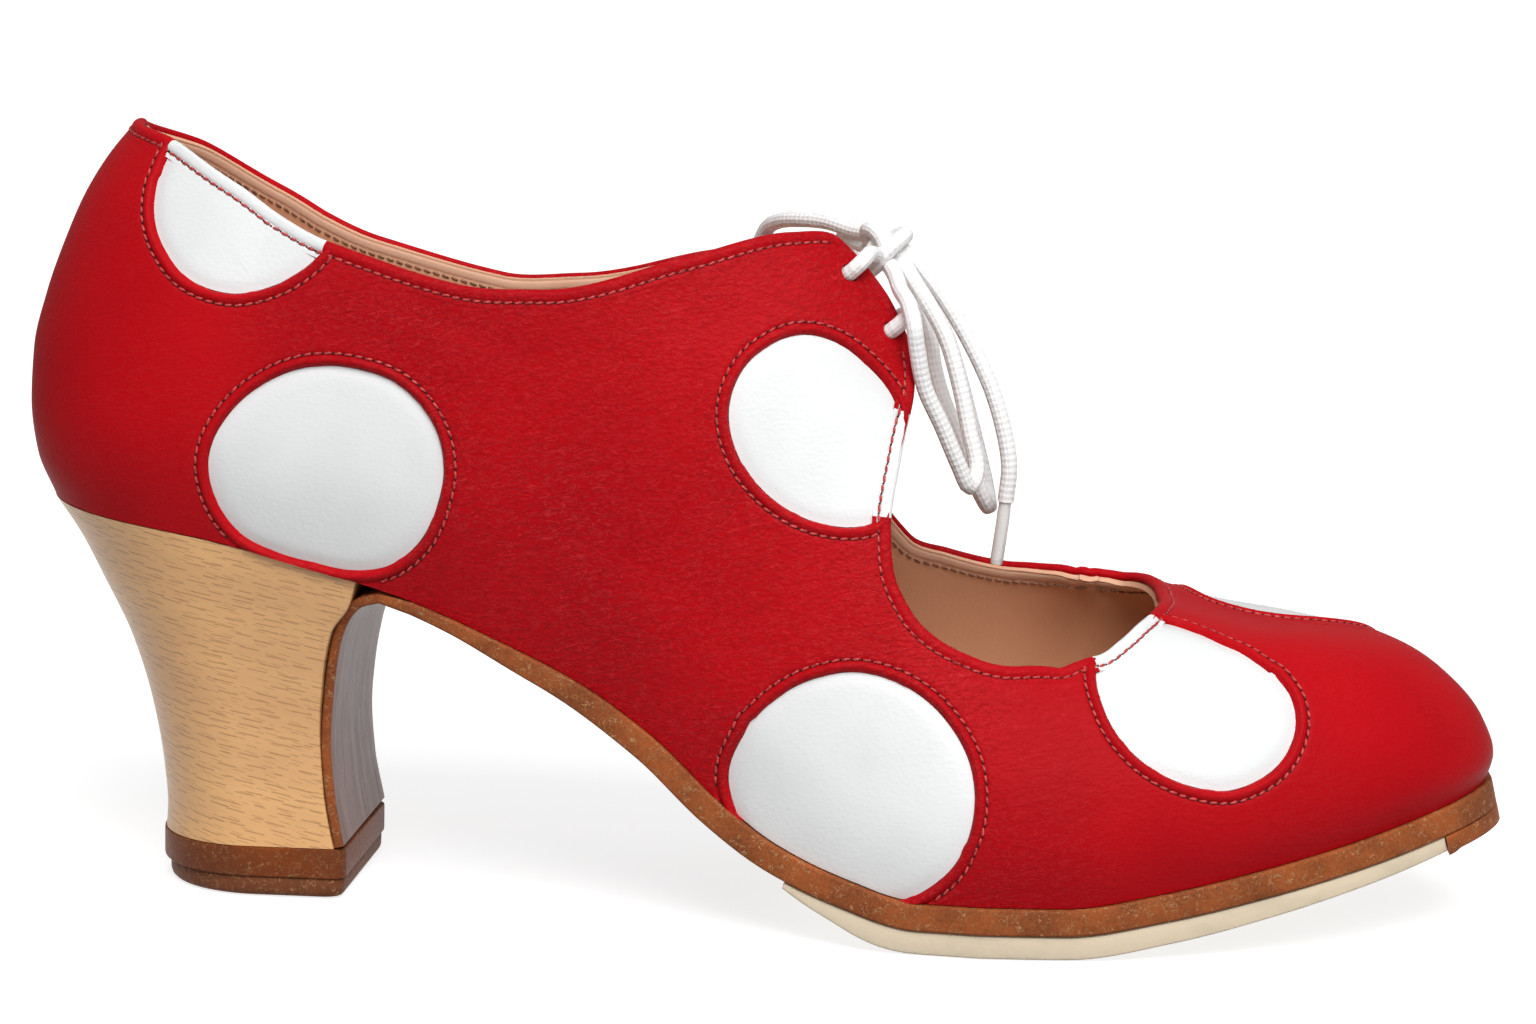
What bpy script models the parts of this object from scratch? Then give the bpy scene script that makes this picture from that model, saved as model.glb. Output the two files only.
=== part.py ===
"""Flamenco shoe for the right foot, built as separate named solids.

The last is worked out in millimetres with X from the back of the heel to the toe, Y to the medial
side and Z up from the floor. Every mesh is written in metres and the finished shoe is then stood on
the middle of its own box.
"""
import math
from typing import NamedTuple

import bmesh
import bpy
import numpy as np

MM = 0.001
GAP = 0.3
WALL = 2.4
INLAY_DEPTH = 1.5
INLAY_THICKNESS = 0.9
EYELET_RADIUS = 1.6
LACE_RADIUS = 1.3
BAR_RADIUS = 1.25
AGLET_RADIUS = 1.05
TOE_SWING = 3.0
HEEL_PACE = 0.29
LATERAL_TOE_POWER = 1.04
MEDIAL_TOE_POWER = 0.92
SOLE_MARGIN = 0.9
PAD_INSET = 0.5
PAD_START = 127.0
PAD_END = 225.5
INSOLE_INSET = 3.3
INSOLE_THICKNESS = 2.5
SOLE_TIP = 235.3
WAIST_X = 66.0
LIFT_TOP = 8.0
TAP_TOP = 3.2
UPPER_ROWS = 9
DOT_SPOKES = 24
DOT_STEPS = 3
LATERAL = -1
MEDIAL = 1


class Section(NamedTuple):
    """One cross-section of the last, leaning from the sole line up to the ridge."""

    name: str
    foot_x: float
    ridge_x: float
    ridge_y: float
    ridge_z: float
    lateral: float
    medial: float
    tuck: float
    bulge: float
    fullness: float


class Profile(NamedTuple):
    """One point of the back curve or of the vamp ridge; share runs from the sole line to the ridge."""

    share: float
    x: float
    z: float


class Rim(NamedTuple):
    """Height of the upper's top edge as a share of the section, at one place along the shoe."""

    name: str
    place: float
    lateral: float
    medial: float


class Level(NamedTuple):
    """One level of the heel; share runs from the lift up to the seat."""

    share: float
    back_x: float
    front_x: float
    half: float


class Dot(NamedTuple):
    """One round window: its middle, half-sizes along and up, a share well inside it, and its lowest share.

    The medial window of a pair is moved by the medial shift, along and up.
    """

    name: str
    station: float
    share: float
    wide: float
    tall: float
    inside_share: float
    floor: float
    medial_shift: tuple


class Finish(NamedTuple):
    """Plain colour of one material."""

    name: str
    colour: tuple
    roughness: float


SECTIONS = [
    Section("heel", 31.0, 50.0, 0.0, 138.0, 28.6, 28.6, 0.88, 0.20, 1.75),
    Section("ankle", 52.0, 84.0, 0.5, 136.0, 29.3, 28.8, 0.87, 0.20, 2.00),
    Section("waist", 72.0, 112.0, 1.5, 127.0, 29.3, 28.0, 0.86, 0.22, 2.15),
    Section("instep", 88.0, 131.0, 2.5, 112.0, 30.3, 28.6, 0.86, 0.23, 2.15),
    Section("facing", 104.0, 146.0, 3.5, 92.0, 32.4, 30.2, 0.87, 0.24, 2.10),
    Section("keyhole", 120.0, 156.0, 5.0, 76.5, 36.2, 33.4, 0.90, 0.24, 2.05),
    Section("tread", 137.0, 164.0, 6.5, 65.0, 40.2, 36.6, 0.93, 0.22, 2.00),
    Section("ball", 155.0, 171.0, 7.0, 57.0, 41.8, 38.4, 0.95, 0.20, 1.90),
]
BACK_CURVE = [
    Profile(0.00, 4.0, 61.8),
    Profile(0.09, 1.1, 68.5),
    Profile(0.19, 0.1, 76.5),
    Profile(0.30, 0.5, 85.0),
    Profile(0.42, 2.5, 93.5),
    Profile(0.54, 5.7, 102.6),
    Profile(0.65, 9.4, 110.8),
    Profile(0.80, 18.4, 122.3),
    Profile(1.00, 50.0, 138.0),
]
VAMP_CURVE = [
    Profile(0.00, 234.6, 22.4),
    Profile(0.10, 235.6, 26.2),
    Profile(0.25, 233.6, 31.8),
    Profile(0.42, 228.4, 37.8),
    Profile(0.58, 220.2, 42.8),
    Profile(0.68, 209.0, 45.2),
    Profile(0.74, 197.0, 46.3),
    Profile(0.81, 182.5, 49.4),
    Profile(1.00, 171.0, 57.0),
]
SOLE_LINE = {
    "x": (-2, 4, 31, 52, 64, 80, 92, 104, 115, 124, 135, 146, 168, 182, 197, 212, 225, 240),
    "z": (63.6, 62.2, 58.4, 53.4, 49.9, 43.4, 37.8, 30.0, 20.6, 14.8, 10.6,
          7.9, 7.9, 10.0, 13.2, 16.8, 20.2, 23.8),
}
SOLE_THICKNESS = {"x": (60, 72, 86, 104, 240), "mm": (1.5, 2.0, 3.3, 4.0, 4.0)}
PAD_THICKNESS = {"x": (127, 132, 143, 170, 226), "mm": (0.8, 1.8, 3.3, 3.3, 2.1)}
BREAST_LINE = {
    "x": (52.6, 51.0, 50.4, 50.9, 52.4, 54.6, 57.2, 60.6),
    "z": (8.3, 17.0, 25.4, 33.0, 41.9, 46.9, 49.3, 50.3),
}
BREAST_HALF = (18.8, 18.3, 18.5, 19.0, 20.8, 22.3, 23.7, 24.8)
RIMS = [
    Rim("back", 0.71, 0.793, 0.793),
    Rim("back side", 0.855, 0.757, 0.738),
    Rim("counter", 0.96, 0.675, 0.641),
    Rim("collar rear", 1.05, 0.588, 0.560),
    Rim("collar low", 1.16, 0.551, 0.529),
    Rim("collar", 1.225, 0.586, 0.572),
    Rim("collar rise", 1.325, 0.742, 0.716),
    Rim("collar top", 1.40, 0.888, 0.838),
    Rim("facing top", 1.44, 0.940, 0.888),
    Rim("facing", 1.50, 0.947, 0.905),
    Rim("facing low", 1.54, 0.936, 0.895),
    Rim("lip", 1.58, 0.893, 0.865),
    Rim("keyhole top", 1.612, 0.793, 0.775),
    Rim("keyhole back", 1.650, 0.683, 0.640),
    Rim("keyhole rear", 1.70, 0.613, 0.607),
    Rim("keyhole low", 1.76, 0.592, 0.650),
    Rim("keyhole", 1.86, 0.620, 0.725),
    Rim("throat rear", 1.98, 0.694, 0.808),
    Rim("throat side", 2.10, 0.742, 0.818),
    Rim("throat front", 2.40, 0.785, 0.815),
    Rim("throat", 3.00, 0.815, 0.815),
]
HEEL_LEVELS = [
    Level(0.00, 22.0, 52.3, 18.8),
    Level(0.06, 22.2, 51.5, 18.4),
    Level(0.20, 21.6, 50.5, 18.2),
    Level(0.40, 19.7, 50.0, 18.9),
    Level(0.60, 16.4, 50.7, 20.4),
    Level(0.78, 11.6, 52.1, 22.4),
    Level(0.90, 8.0, 54.3, 24.0),
]
DOTS = [
    Dot("heel", 1.118, 0.163, 18.9, 18.2, 0.170, 0.03, (0.0, 0.0)),
    Dot("collar", 0.905, 0.676, 16.6, 17.2, 0.560, 0.0, (0.0, -0.03)),
    Dot("instep", 1.543, 0.708, 17.2, 15.0, 0.690, 0.0, (-0.01, -0.05)),
    Dot("ball", 1.788, 0.192, 19.3, 18.9, 0.230, -0.03, (0.0, 0.0)),
    Dot("vamp", 2.300, 0.625, 17.2, 16.6, 0.580, 0.0, (0.05, 0.02)),
]
EYELETS = {"station": (1.467, 1.529), "share": (0.917, 0.916)}
KNOT = (136.8, 0.0, 103.9)
KNOT_HALF = (3.1, 4.2, 3.6)
BAR_CROWNS = {"lace_bar_top": (132.1, 0.0, 103.9), "lace_bar_low": (139.3, 4.3, 91.9)}
LOOP_FRONT = [
    (139.4, -3.9, 101.7), (139.6, -10.2, 98.2), (141.3, -15.2, 96.4), (142.1, -16.9, 93.6), (142.6, -16.4, 90.2),
    (143.9, -14.8, 83.8), (146.8, -13.2, 77.5), (149.4, -11.6, 71.5), (151.2, -10.0, 67.6), (152.2, -8.2, 70.3),
    (150.8, -7.6, 76.5), (149.1, -7.2, 83.6), (146.8, -6.8, 90.7), (144.0, -6.2, 95.6), (141.8, -5.4, 98.6),
]
LOOP_BEHIND = [
    (139.9, 2.2, 100.9), (142.0, 0.6, 96.0), (143.9, -0.4, 90.6), (144.9, -1.0, 85.4), (146.5, -1.4, 80.4),
    (148.6, -1.6, 75.8), (150.6, -1.2, 70.7), (152.7, 0.0, 65.7), (154.1, 2.0, 62.9), (153.7, 4.2, 65.6),
    (152.2, 5.2, 71.4), (150.4, 5.6, 77.8), (148.7, 5.8, 83.7), (146.4, 6.0, 90.3), (143.7, 5.8, 95.4),
    (141.7, 5.4, 98.1),
]
END_FRONT = [
    (141.2, -0.9, 105.1), (143.1, -1.2, 100.5), (147.1, -2.0, 95.3), (151.1, -2.6, 88.7), (154.3, -2.8, 82.0),
    (156.4, -2.8, 75.2), (157.2, -2.8, 70.2), (156.8, -2.6, 64.8),
]
TIP_FRONT = [(156.8, -2.6, 64.5), (156.2, -2.3, 59.5), (155.6, -2.0, 54.7)]
END_BACK = [
    (134.9, 3.2, 107.4), (131.2, 7.0, 106.1), (129.8, 8.8, 106.8), (126.6, 11.6, 107.4), (121.5, 16.2, 107.4),
    (118.0, 20.6, 106.7), (115.8, 24.6, 105.0), (113.6, 28.8, 99.0), (112.9, 31.2, 91.0), (112.6, 32.6, 83.6),
    (112.5, 33.3, 76.3),
]
TIP_BACK = [(112.5, 33.4, 76.0), (112.4, 33.7, 71.2), (112.3, 33.8, 66.6)]

RED_LEATHER = Finish("red_leather", (0.42, 0.006, 0.012), 0.45)
WHITE_LEATHER = Finish("white_leather", (0.82, 0.82, 0.80), 0.45)
TAN_LEATHER = Finish("tan_leather", (0.48, 0.27, 0.15), 0.60)
BROWN_LEATHER = Finish("brown_leather", (0.23, 0.075, 0.030), 0.55)
BEECH = Finish("beech", (0.58, 0.33, 0.14), 0.40)
CREAM_RUBBER = Finish("cream_rubber", (0.72, 0.64, 0.46), 0.65)
WHITE_CORD = Finish("white_cord", (0.80, 0.79, 0.78), 0.80)
CLEAR_TIP = Finish("clear_tip", (0.78, 0.77, 0.75), 0.25)

STATIONS = np.concatenate([
    np.linspace(0.0, 1.0, 10)[:-1],
    np.linspace(1.0, 1.35, 8)[:-1],
    np.linspace(1.35, 1.70, 14)[:-1],
    np.linspace(1.70, 2.0, 7)[:-1],
    np.linspace(2.0, 3.0, 12),
])


def smooth(xs, ys, x):
    """Reads a table at x with a smooth curve that never swings past its own rows."""
    xs = np.asarray(xs, float)
    ys = np.asarray(ys, float)
    step = np.diff(xs)
    rise = np.diff(ys) / step
    slope = np.empty_like(ys)
    slope[0] = rise[0]
    slope[-1] = rise[-1]
    before = 2 * step[1:] + step[:-1]
    after = step[1:] + 2 * step[:-1]
    same_way = rise[:-1] * rise[1:] > 0
    safe_low = np.where(same_way, rise[:-1], 1.0)
    safe_high = np.where(same_way, rise[1:], 1.0)
    slope[1:-1] = np.where(same_way, (before + after) / (before / safe_low + after / safe_high), 0.0)
    x = np.asarray(x, float)
    row = np.clip(np.searchsorted(xs, x) - 1, 0, len(step) - 1)
    t = np.clip((x - xs[row]) / step[row], 0.0, 1.0)
    start = (1 + 2 * t) * (1 - t) ** 2 * ys[row] + t * (1 - t) ** 2 * step[row] * slope[row]
    end = t * t * (3 - 2 * t) * ys[row + 1] + t * t * (t - 1) * step[row] * slope[row + 1]
    return start + end


def sole_line(x):
    """Height of the line where the upper meets the sole."""
    return smooth(SOLE_LINE["x"], SOLE_LINE["z"], x)


def column(name, station):
    """Reads one column of the section table at stations 1 (heel side) to 2 (ball side)."""
    rows = np.linspace(1.0, 2.0, len(SECTIONS))
    return smooth(rows, [getattr(section, name) for section in SECTIONS], np.clip(station, 1.0, 2.0))


def girth(share, tuck, bulge, fullness):
    """Half-width of a section as a share of its widest: tucked in at the sole, closing at the ridge."""
    low = tuck + (1 - tuck) * np.sin(0.5 * math.pi * np.clip(share / bulge, -0.5, 1.0))
    above = np.clip((share - bulge) / (1 - bulge), 0.0, 1.0)
    high = (1 - above ** fullness) ** (1 / fullness)
    return np.where(share < bulge, low, high)


def section_point(station, share, side):
    """Point of the side wall between the heel and the ball."""
    foot_x = column("foot_x", station)
    foot_z = sole_line(foot_x)
    wide = column("lateral" if side == LATERAL else "medial", station)
    half = wide * girth(share, column("tuck", station), column("bulge", station), column("fullness", station))
    x = foot_x + share * (column("ridge_x", station) - foot_x)
    y = share * column("ridge_y", station) + side * half
    z = foot_z + share * (column("ridge_z", station) - foot_z)
    return np.stack([x, y, z], -1)


def fan_point(station, share, side, curve, corner, power, swing):
    """Point of the rounded heel or toe, swept from the side section to the middle profile."""
    turn = 0.5 * math.pi * np.clip(np.abs(station - corner), 0.0, 1.0)
    end = np.sin(turn) ** power
    flank = np.cos(turn) ** power
    at = np.full_like(share, corner)
    wall_side = section_point(at, share, side)
    shares = [row.share for row in curve]
    end_x = smooth(shares, [row.x for row in curve], share)
    end_z = smooth(shares, [row.z for row in curve], share)
    foot_x = column("foot_x", at)
    axis_x = foot_x + share * (column("ridge_x", at) - foot_x)
    axis_y = share * column("ridge_y", at)
    x = axis_x + (end_x - axis_x) * end
    y = axis_y + (wall_side[..., 1] - axis_y) * flank + swing * end * (1 - share)
    rise = (end_z - curve[0].z) * end ** 2 + (wall_side[..., 2] - sole_line(foot_x)) * (1 - end ** 2)
    z = sole_line(foot_x + (curve[0].x - foot_x) * end) + rise
    return np.stack([x, y, z], -1)


def wall(station, share, side):
    """Outer face of the upper: station 0 heel back, 1 heel side, 2 ball side, 3 toe tip."""
    station, share = np.broadcast_arrays(np.asarray(station, float), np.asarray(share, float))
    toe_power = LATERAL_TOE_POWER if side == LATERAL else MEDIAL_TOE_POWER
    heel = fan_point(station, share, side, BACK_CURVE, 1.0, 1.0, 0.0)
    toe = fan_point(station, share, side, VAMP_CURVE, 2.0, toe_power, TOE_SWING)
    middle = section_point(station, share, side)
    fore = np.where((station > 2.0)[..., None], toe, middle)
    return np.where((station < 1.0)[..., None], heel, fore)


def rim_share(station, side):
    """Share of the section at which the top edge runs; the short heel turn is paced like the flank."""
    heights = [rim.lateral if side == LATERAL else rim.medial for rim in RIMS]
    place = np.where(station < 1.0, 1.0 - HEEL_PACE * (1.0 - station), station)
    return smooth([rim.place for rim in RIMS], heights, place)


def wall_normal(station, share, side):
    """Outward direction of the upper's face."""
    small = 1e-3
    low = np.clip(station - small, 1e-6, 3.0 - 1e-6)
    high = np.clip(station + small, 1e-6, 3.0 - 1e-6)
    along = wall(high, share, side) - wall(low, share, side)
    up = wall(station, share + small, side) - wall(station, share - small, side)
    normal = np.cross(along, up) * -side
    return normal / np.linalg.norm(normal, axis=-1, keepdims=True)


def outline(x, side, margin=0.0):
    """Sideways reach of the sole line at x, moved outward in plan by the margin."""
    station = np.linspace(0.0, 3.0, 601)
    edge = wall(station, 0.0, side)[:, :2]
    tangent = np.gradient(edge, axis=0)
    out = np.stack([tangent[:, 1], -tangent[:, 0]], -1) * -side
    out = out / np.linalg.norm(out, axis=1, keepdims=True)
    edge = edge + margin * out
    return np.interp(x, edge[:, 0], edge[:, 1])


def material(finish):
    """Returns the finish as a Principled material, made once."""
    made = bpy.data.materials.get(finish.name)
    if made is None:
        made = bpy.data.materials.new(finish.name)
        made.use_nodes = True
        shader = made.node_tree.nodes["Principled BSDF"]
        shader.inputs["Base Color"].default_value = (*finish.colour, 1.0)
        shader.inputs["Roughness"].default_value = finish.roughness
        shader.inputs["Metallic"].default_value = 0.0
    return made


def solid(name, points, faces, finish):
    """Makes a mesh object from points in millimetres, its faces turned outward."""
    mesh = bpy.data.meshes.new(name)
    mesh.from_pydata([tuple(float(c) * MM for c in point) for point in points], [], faces)
    work = bmesh.new()
    work.from_mesh(mesh)
    bmesh.ops.recalc_face_normals(work, faces=work.faces)
    bmesh.ops.triangulate(work, faces=work.faces)
    work.to_mesh(mesh)
    work.free()
    mesh.materials.append(material(finish))
    made = bpy.data.objects.new(name, mesh)
    bpy.context.scene.collection.objects.link(made)
    return made


def ladder(first, count, turned):
    """Faces that close a ring by joining its two flanks rung by rung."""
    faces = []
    for i in range((count - 1) // 2):
        rung = [first + i, first + i + 1, first + count - 2 - i, first + count - 1 - i]
        rung = list(dict.fromkeys(rung))
        faces.append(rung[::-1] if turned else rung)
    return faces


def loft(name, rings, finish):
    """Closed solid through rings that all have the same number of points."""
    count = len(rings[0])
    points = [point for ring in rings for point in ring]
    faces = []
    for r in range(len(rings) - 1):
        for i in range(count):
            j = (i + 1) % count
            faces.append((r * count + i, r * count + j, (r + 1) * count + j, (r + 1) * count + i))
    faces += ladder(0, count, True)
    faces += ladder((len(rings) - 1) * count, count, False)
    return solid(name, points, faces, finish)


def cut(target, cutter):
    """Takes the cutter away from the target and removes the cutter."""
    cutter.hide_render = True
    cutter.display_type = "WIRE"
    modifier = target.modifiers.new("cut", "BOOLEAN")
    modifier.operation = "DIFFERENCE"
    modifier.solver = "EXACT"
    modifier.object = cutter
    bpy.context.view_layer.objects.active = target
    bpy.ops.object.modifier_apply(modifier=modifier.name)
    bpy.data.objects.remove(cutter, do_unlink=True)


def upper_shell():
    """The upper as a ring wall of real thickness, open at the collar, the throat and underneath."""
    outer = []
    inner = []
    for side, stations in ((LATERAL, STATIONS), (MEDIAL, STATIONS[-2:0:-1])):
        for station in stations:
            share = rim_share(station, side) * np.linspace(0.0, 1.0, UPPER_ROWS + 1)
            at = np.full_like(share, station)
            face = wall(at, share, side)
            normal = wall_normal(at, share, side)
            if station in (0.0, 3.0):
                normal[:, 1] = 0.0
            outer.append(face)
            inner.append(face - WALL * normal)
    columns = len(outer)
    rows = UPPER_ROWS + 1
    points = [point for face in outer + inner for point in face]
    faces = []
    for i in range(columns):
        j = (i + 1) % columns
        for r in range(UPPER_ROWS):
            a, b, c, d = i * rows + r, j * rows + r, j * rows + r + 1, i * rows + r + 1
            faces.append((a, b, c, d))
            faces.append(tuple(columns * rows + k for k in (d, c, b, a)))
        for r in (0, UPPER_ROWS):
            a, b = i * rows + r, j * rows + r
            faces.append((a, b, columns * rows + b, columns * rows + a))
    return solid("upper", points, faces, RED_LEATHER)


def dot_grid(dot, side, shrink, floor, above):
    """Spots over one dot: rays walk the wall from inside it to its round edge, the rim or its floor."""
    turn = 2 * math.pi * np.arange(DOT_SPOKES) / DOT_SPOKES
    move = dot.medial_shift if side == MEDIAL else (0.0, 0.0)
    place = dot.station + move[0]
    inside = dot.inside_share + move[1]
    station = np.full(DOT_SPOKES, place)
    share = np.full(DOT_SPOKES, inside)
    small = 1e-3
    middle = wall(place, dot.share + move[1], side)
    level = wall(place + small, dot.share + move[1], side) - middle
    level /= np.linalg.norm(level)
    heading = None
    stride = 1.0
    path = []
    excess = []
    for _ in range(int(2.2 * dot.wide / stride)):
        spot = wall(station, share, side)
        off = spot - middle
        across = np.sum(off * level, -1)
        upward = np.linalg.norm(off - across[:, None] * level, axis=-1)
        past_edge = np.hypot(across / (dot.wide - shrink), upward / (dot.tall - shrink)) - 1.0
        past_rim = (share - rim_share(station, side) - above) * 4.0
        past_floor = (floor - share) * 4.0
        path.append(np.stack([station, share], -1))
        excess.append(np.maximum(past_edge, np.maximum(past_rim, past_floor)))
        along = (wall(station + small, share, side) - spot) / small
        up = (wall(station, share + small, side) - spot) / small
        if heading is None:
            first = along / np.linalg.norm(along, axis=-1, keepdims=True)
            second = up - first * np.sum(up * first, -1, keepdims=True)
            second /= np.linalg.norm(second, axis=-1, keepdims=True)
            heading = np.cos(turn)[:, None] * first + np.sin(turn)[:, None] * second
        aa, ab, bb = (np.sum(p * q, -1) for p, q in ((along, along), (along, up), (up, up)))
        ha, hb = np.sum(heading * along, -1), np.sum(heading * up, -1)
        area = aa * bb - ab * ab
        go_along = (ha * bb - hb * ab) / area
        go_up = (hb * aa - ha * ab) / area
        travel = go_along[:, None] * along + go_up[:, None] * up
        length = np.linalg.norm(travel, axis=-1)
        heading = travel / length[:, None]
        station = np.clip(station + go_along * stride / length, 0.01, 2.99)
        share = np.clip(share + go_up * stride / length, -0.1, 0.97)
    path = np.array(path)
    excess = np.array(excess)
    grid = []
    for k in range(DOT_SPOKES):
        stop = int(np.argmax(excess[:, k] > 0))
        reach = stop - excess[stop, k] / (excess[stop, k] - excess[stop - 1, k])
        for i in range(1, DOT_STEPS + 1):
            at = reach * i / DOT_STEPS
            places = np.arange(len(path))
            grid.append((np.interp(at, places, path[:, k, 0]), np.interp(at, places, path[:, k, 1])))
    grid.append((place, inside))
    return np.array(grid)


def dot_patch(name, dot, side, shrink, low, high, floor, above, finish):
    """Solid sheet that follows the wall over one dot, between two depths measured from its face."""
    spots = dot_grid(dot, side, shrink, floor, above)
    face = wall(spots[:, 0], spots[:, 1], side)
    normal = wall_normal(spots[:, 0], spots[:, 1], side)
    points = list(face + low * normal) + list(face + high * normal)
    layer = len(spots)
    centre = layer - 1
    faces = []
    for k in range(DOT_SPOKES):
        a = k * DOT_STEPS
        b = ((k + 1) % DOT_SPOKES) * DOT_STEPS
        for base in (0, layer):
            faces.append((base + centre, base + a, base + b))
            for i in range(DOT_STEPS - 1):
                faces.append((base + a + i, base + a + i + 1, base + b + i + 1, base + b + i))
        edge = (a + DOT_STEPS - 1, b + DOT_STEPS - 1)
        faces.append((edge[0], edge[1], layer + edge[1], layer + edge[0]))
    return solid(name, points, faces, finish)


def dots(upper):
    """Cuts the round windows into the upper's face and lays the white inlays in them."""
    for side, word in ((LATERAL, "lateral"), (MEDIAL, "medial")):
        for dot in DOTS:
            window = dot_patch("window", dot, side, 0.0, -INLAY_DEPTH, 2.0, dot.floor, 0.03, RED_LEATHER)
            cut(upper, window)
            low = GAP - INLAY_DEPTH
            floor = max(dot.floor, 0.0) + 0.005
            name = f"dot_{dot.name}_{word}"
            dot_patch(name, dot, side, GAP, low, low + INLAY_THICKNESS, floor, -0.005, WHITE_LEATHER)


def sole_rows(start, end, count):
    """Places along the sole, closing up towards the toe tip."""
    reach = SOLE_TIP + 0.2 - WAIST_X
    turn = np.linspace(math.asin((start - WAIST_X) / reach), math.asin((end - WAIST_X) / reach), count)
    return WAIST_X + reach * np.sin(turn)


def under_sole(x, depth):
    """Points at a depth below the sole line, measured square to it."""
    slope = (sole_line(x + 0.05) - sole_line(x - 0.05)) / 0.1
    length = np.sqrt(1 + slope ** 2)
    return x + depth * slope / length, sole_line(x) - depth / length


def strip(name, x, margin, top_depth, bottom_depth, finish):
    """Solid across the foot between two depths below the sole line; a minus depth lies above it."""
    top_x, top_z = under_sole(x, top_depth)
    low_x, low_z = under_sole(x, bottom_depth)
    lateral = outline(x, LATERAL, margin)
    medial = outline(x, MEDIAL, margin)
    rings = []
    for i in range(len(x)):
        rings.append([
            (top_x[i], lateral[i], top_z[i]),
            (low_x[i], lateral[i], low_z[i]),
            (low_x[i], medial[i], low_z[i]),
            (top_x[i], medial[i], top_z[i]),
        ])
    return loft(name, rings, finish)


def outsole():
    """Outsole from the toe along the waist, turned down over the heel breast."""
    fore_x = sole_rows(WAIST_X, SOLE_TIP, 32)
    line_x = np.concatenate([BREAST_LINE["x"], fore_x])
    line_z = np.concatenate([BREAST_LINE["z"], sole_line(fore_x) - GAP])
    run = np.stack([np.gradient(line_x), np.gradient(line_z)], -1)
    run /= np.linalg.norm(run, axis=1, keepdims=True)
    thick = smooth(SOLE_THICKNESS["x"], SOLE_THICKNESS["mm"], line_x)
    thick[:len(BREAST_HALF)] = SOLE_THICKNESS["mm"][0]
    lateral = np.concatenate([-np.array(BREAST_HALF), outline(fore_x, LATERAL, SOLE_MARGIN)])
    medial = np.concatenate([np.array(BREAST_HALF), outline(fore_x, MEDIAL, SOLE_MARGIN)])
    rings = []
    for i in range(len(line_x)):
        low_x = line_x[i] + thick[i] * run[i, 1]
        low_z = line_z[i] - thick[i] * run[i, 0]
        rings.append([
            (line_x[i], lateral[i], line_z[i]),
            (low_x, lateral[i], low_z),
            (low_x, medial[i], low_z),
            (line_x[i], medial[i], line_z[i]),
        ])
    return loft("outsole", rings, BROWN_LEATHER)


def sole_layers():
    """Insole above the outsole, forefoot pad and toe piece below it."""
    heel_x = SECTIONS[0].foot_x
    back_x = BACK_CURVE[0].x + INSOLE_INSET
    turn = np.linspace(0.12, 0.5 * math.pi, 9)
    insole_x = np.concatenate([
        heel_x - (heel_x - back_x) * np.cos(turn),
        np.linspace(heel_x, WAIST_X, 6)[1:-1],
        sole_rows(WAIST_X, SOLE_TIP - INSOLE_INSET - 1.2, 24),
    ])
    strip("insole", insole_x, -INSOLE_INSET, -INSOLE_THICKNESS, 0.0, TAN_LEATHER)
    pad_x = np.unique(np.concatenate([sole_rows(PAD_START, PAD_END, 22), [146.0, 168.0]]))
    pad_top = 2 * GAP + smooth(SOLE_THICKNESS["x"], SOLE_THICKNESS["mm"], pad_x)
    pad_low = pad_top + smooth(PAD_THICKNESS["x"], PAD_THICKNESS["mm"], pad_x)
    strip("forefoot_pad", pad_x, SOLE_MARGIN - PAD_INSET, pad_top, pad_low, CREAM_RUBBER)
    toe_x = sole_rows(PAD_END + GAP, SOLE_TIP, 8)
    strip("toe_piece", toe_x, SOLE_MARGIN, pad_top[-1], pad_low[-1] + 0.3, BROWN_LEATHER)


def heel_ring(level):
    """One ring of the heel: back half round, flanks running straight to the breast."""
    middle = 0.5 * (level.back_x + level.front_x) + 1.5
    turn = np.linspace(0.0, 0.5 * math.pi, 9)
    back = middle - (middle - level.back_x) * np.cos(turn)
    x = np.concatenate([back, np.linspace(middle, level.front_x, 4)[1:]])
    y = np.concatenate([level.half * np.sin(turn), np.full(3, level.half)])
    return x, y


def close_ring(x, y, z):
    """Ring of points from the lateral breast corner round the back to the medial one."""
    lateral = [(x[i], -y[i], z[i]) for i in range(len(x) - 1, 0, -1)]
    medial = [(x[i], y[i], z[i]) for i in range(1, len(x))]
    return lateral + [(x[0], 0.0, z[0])] + medial


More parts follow.
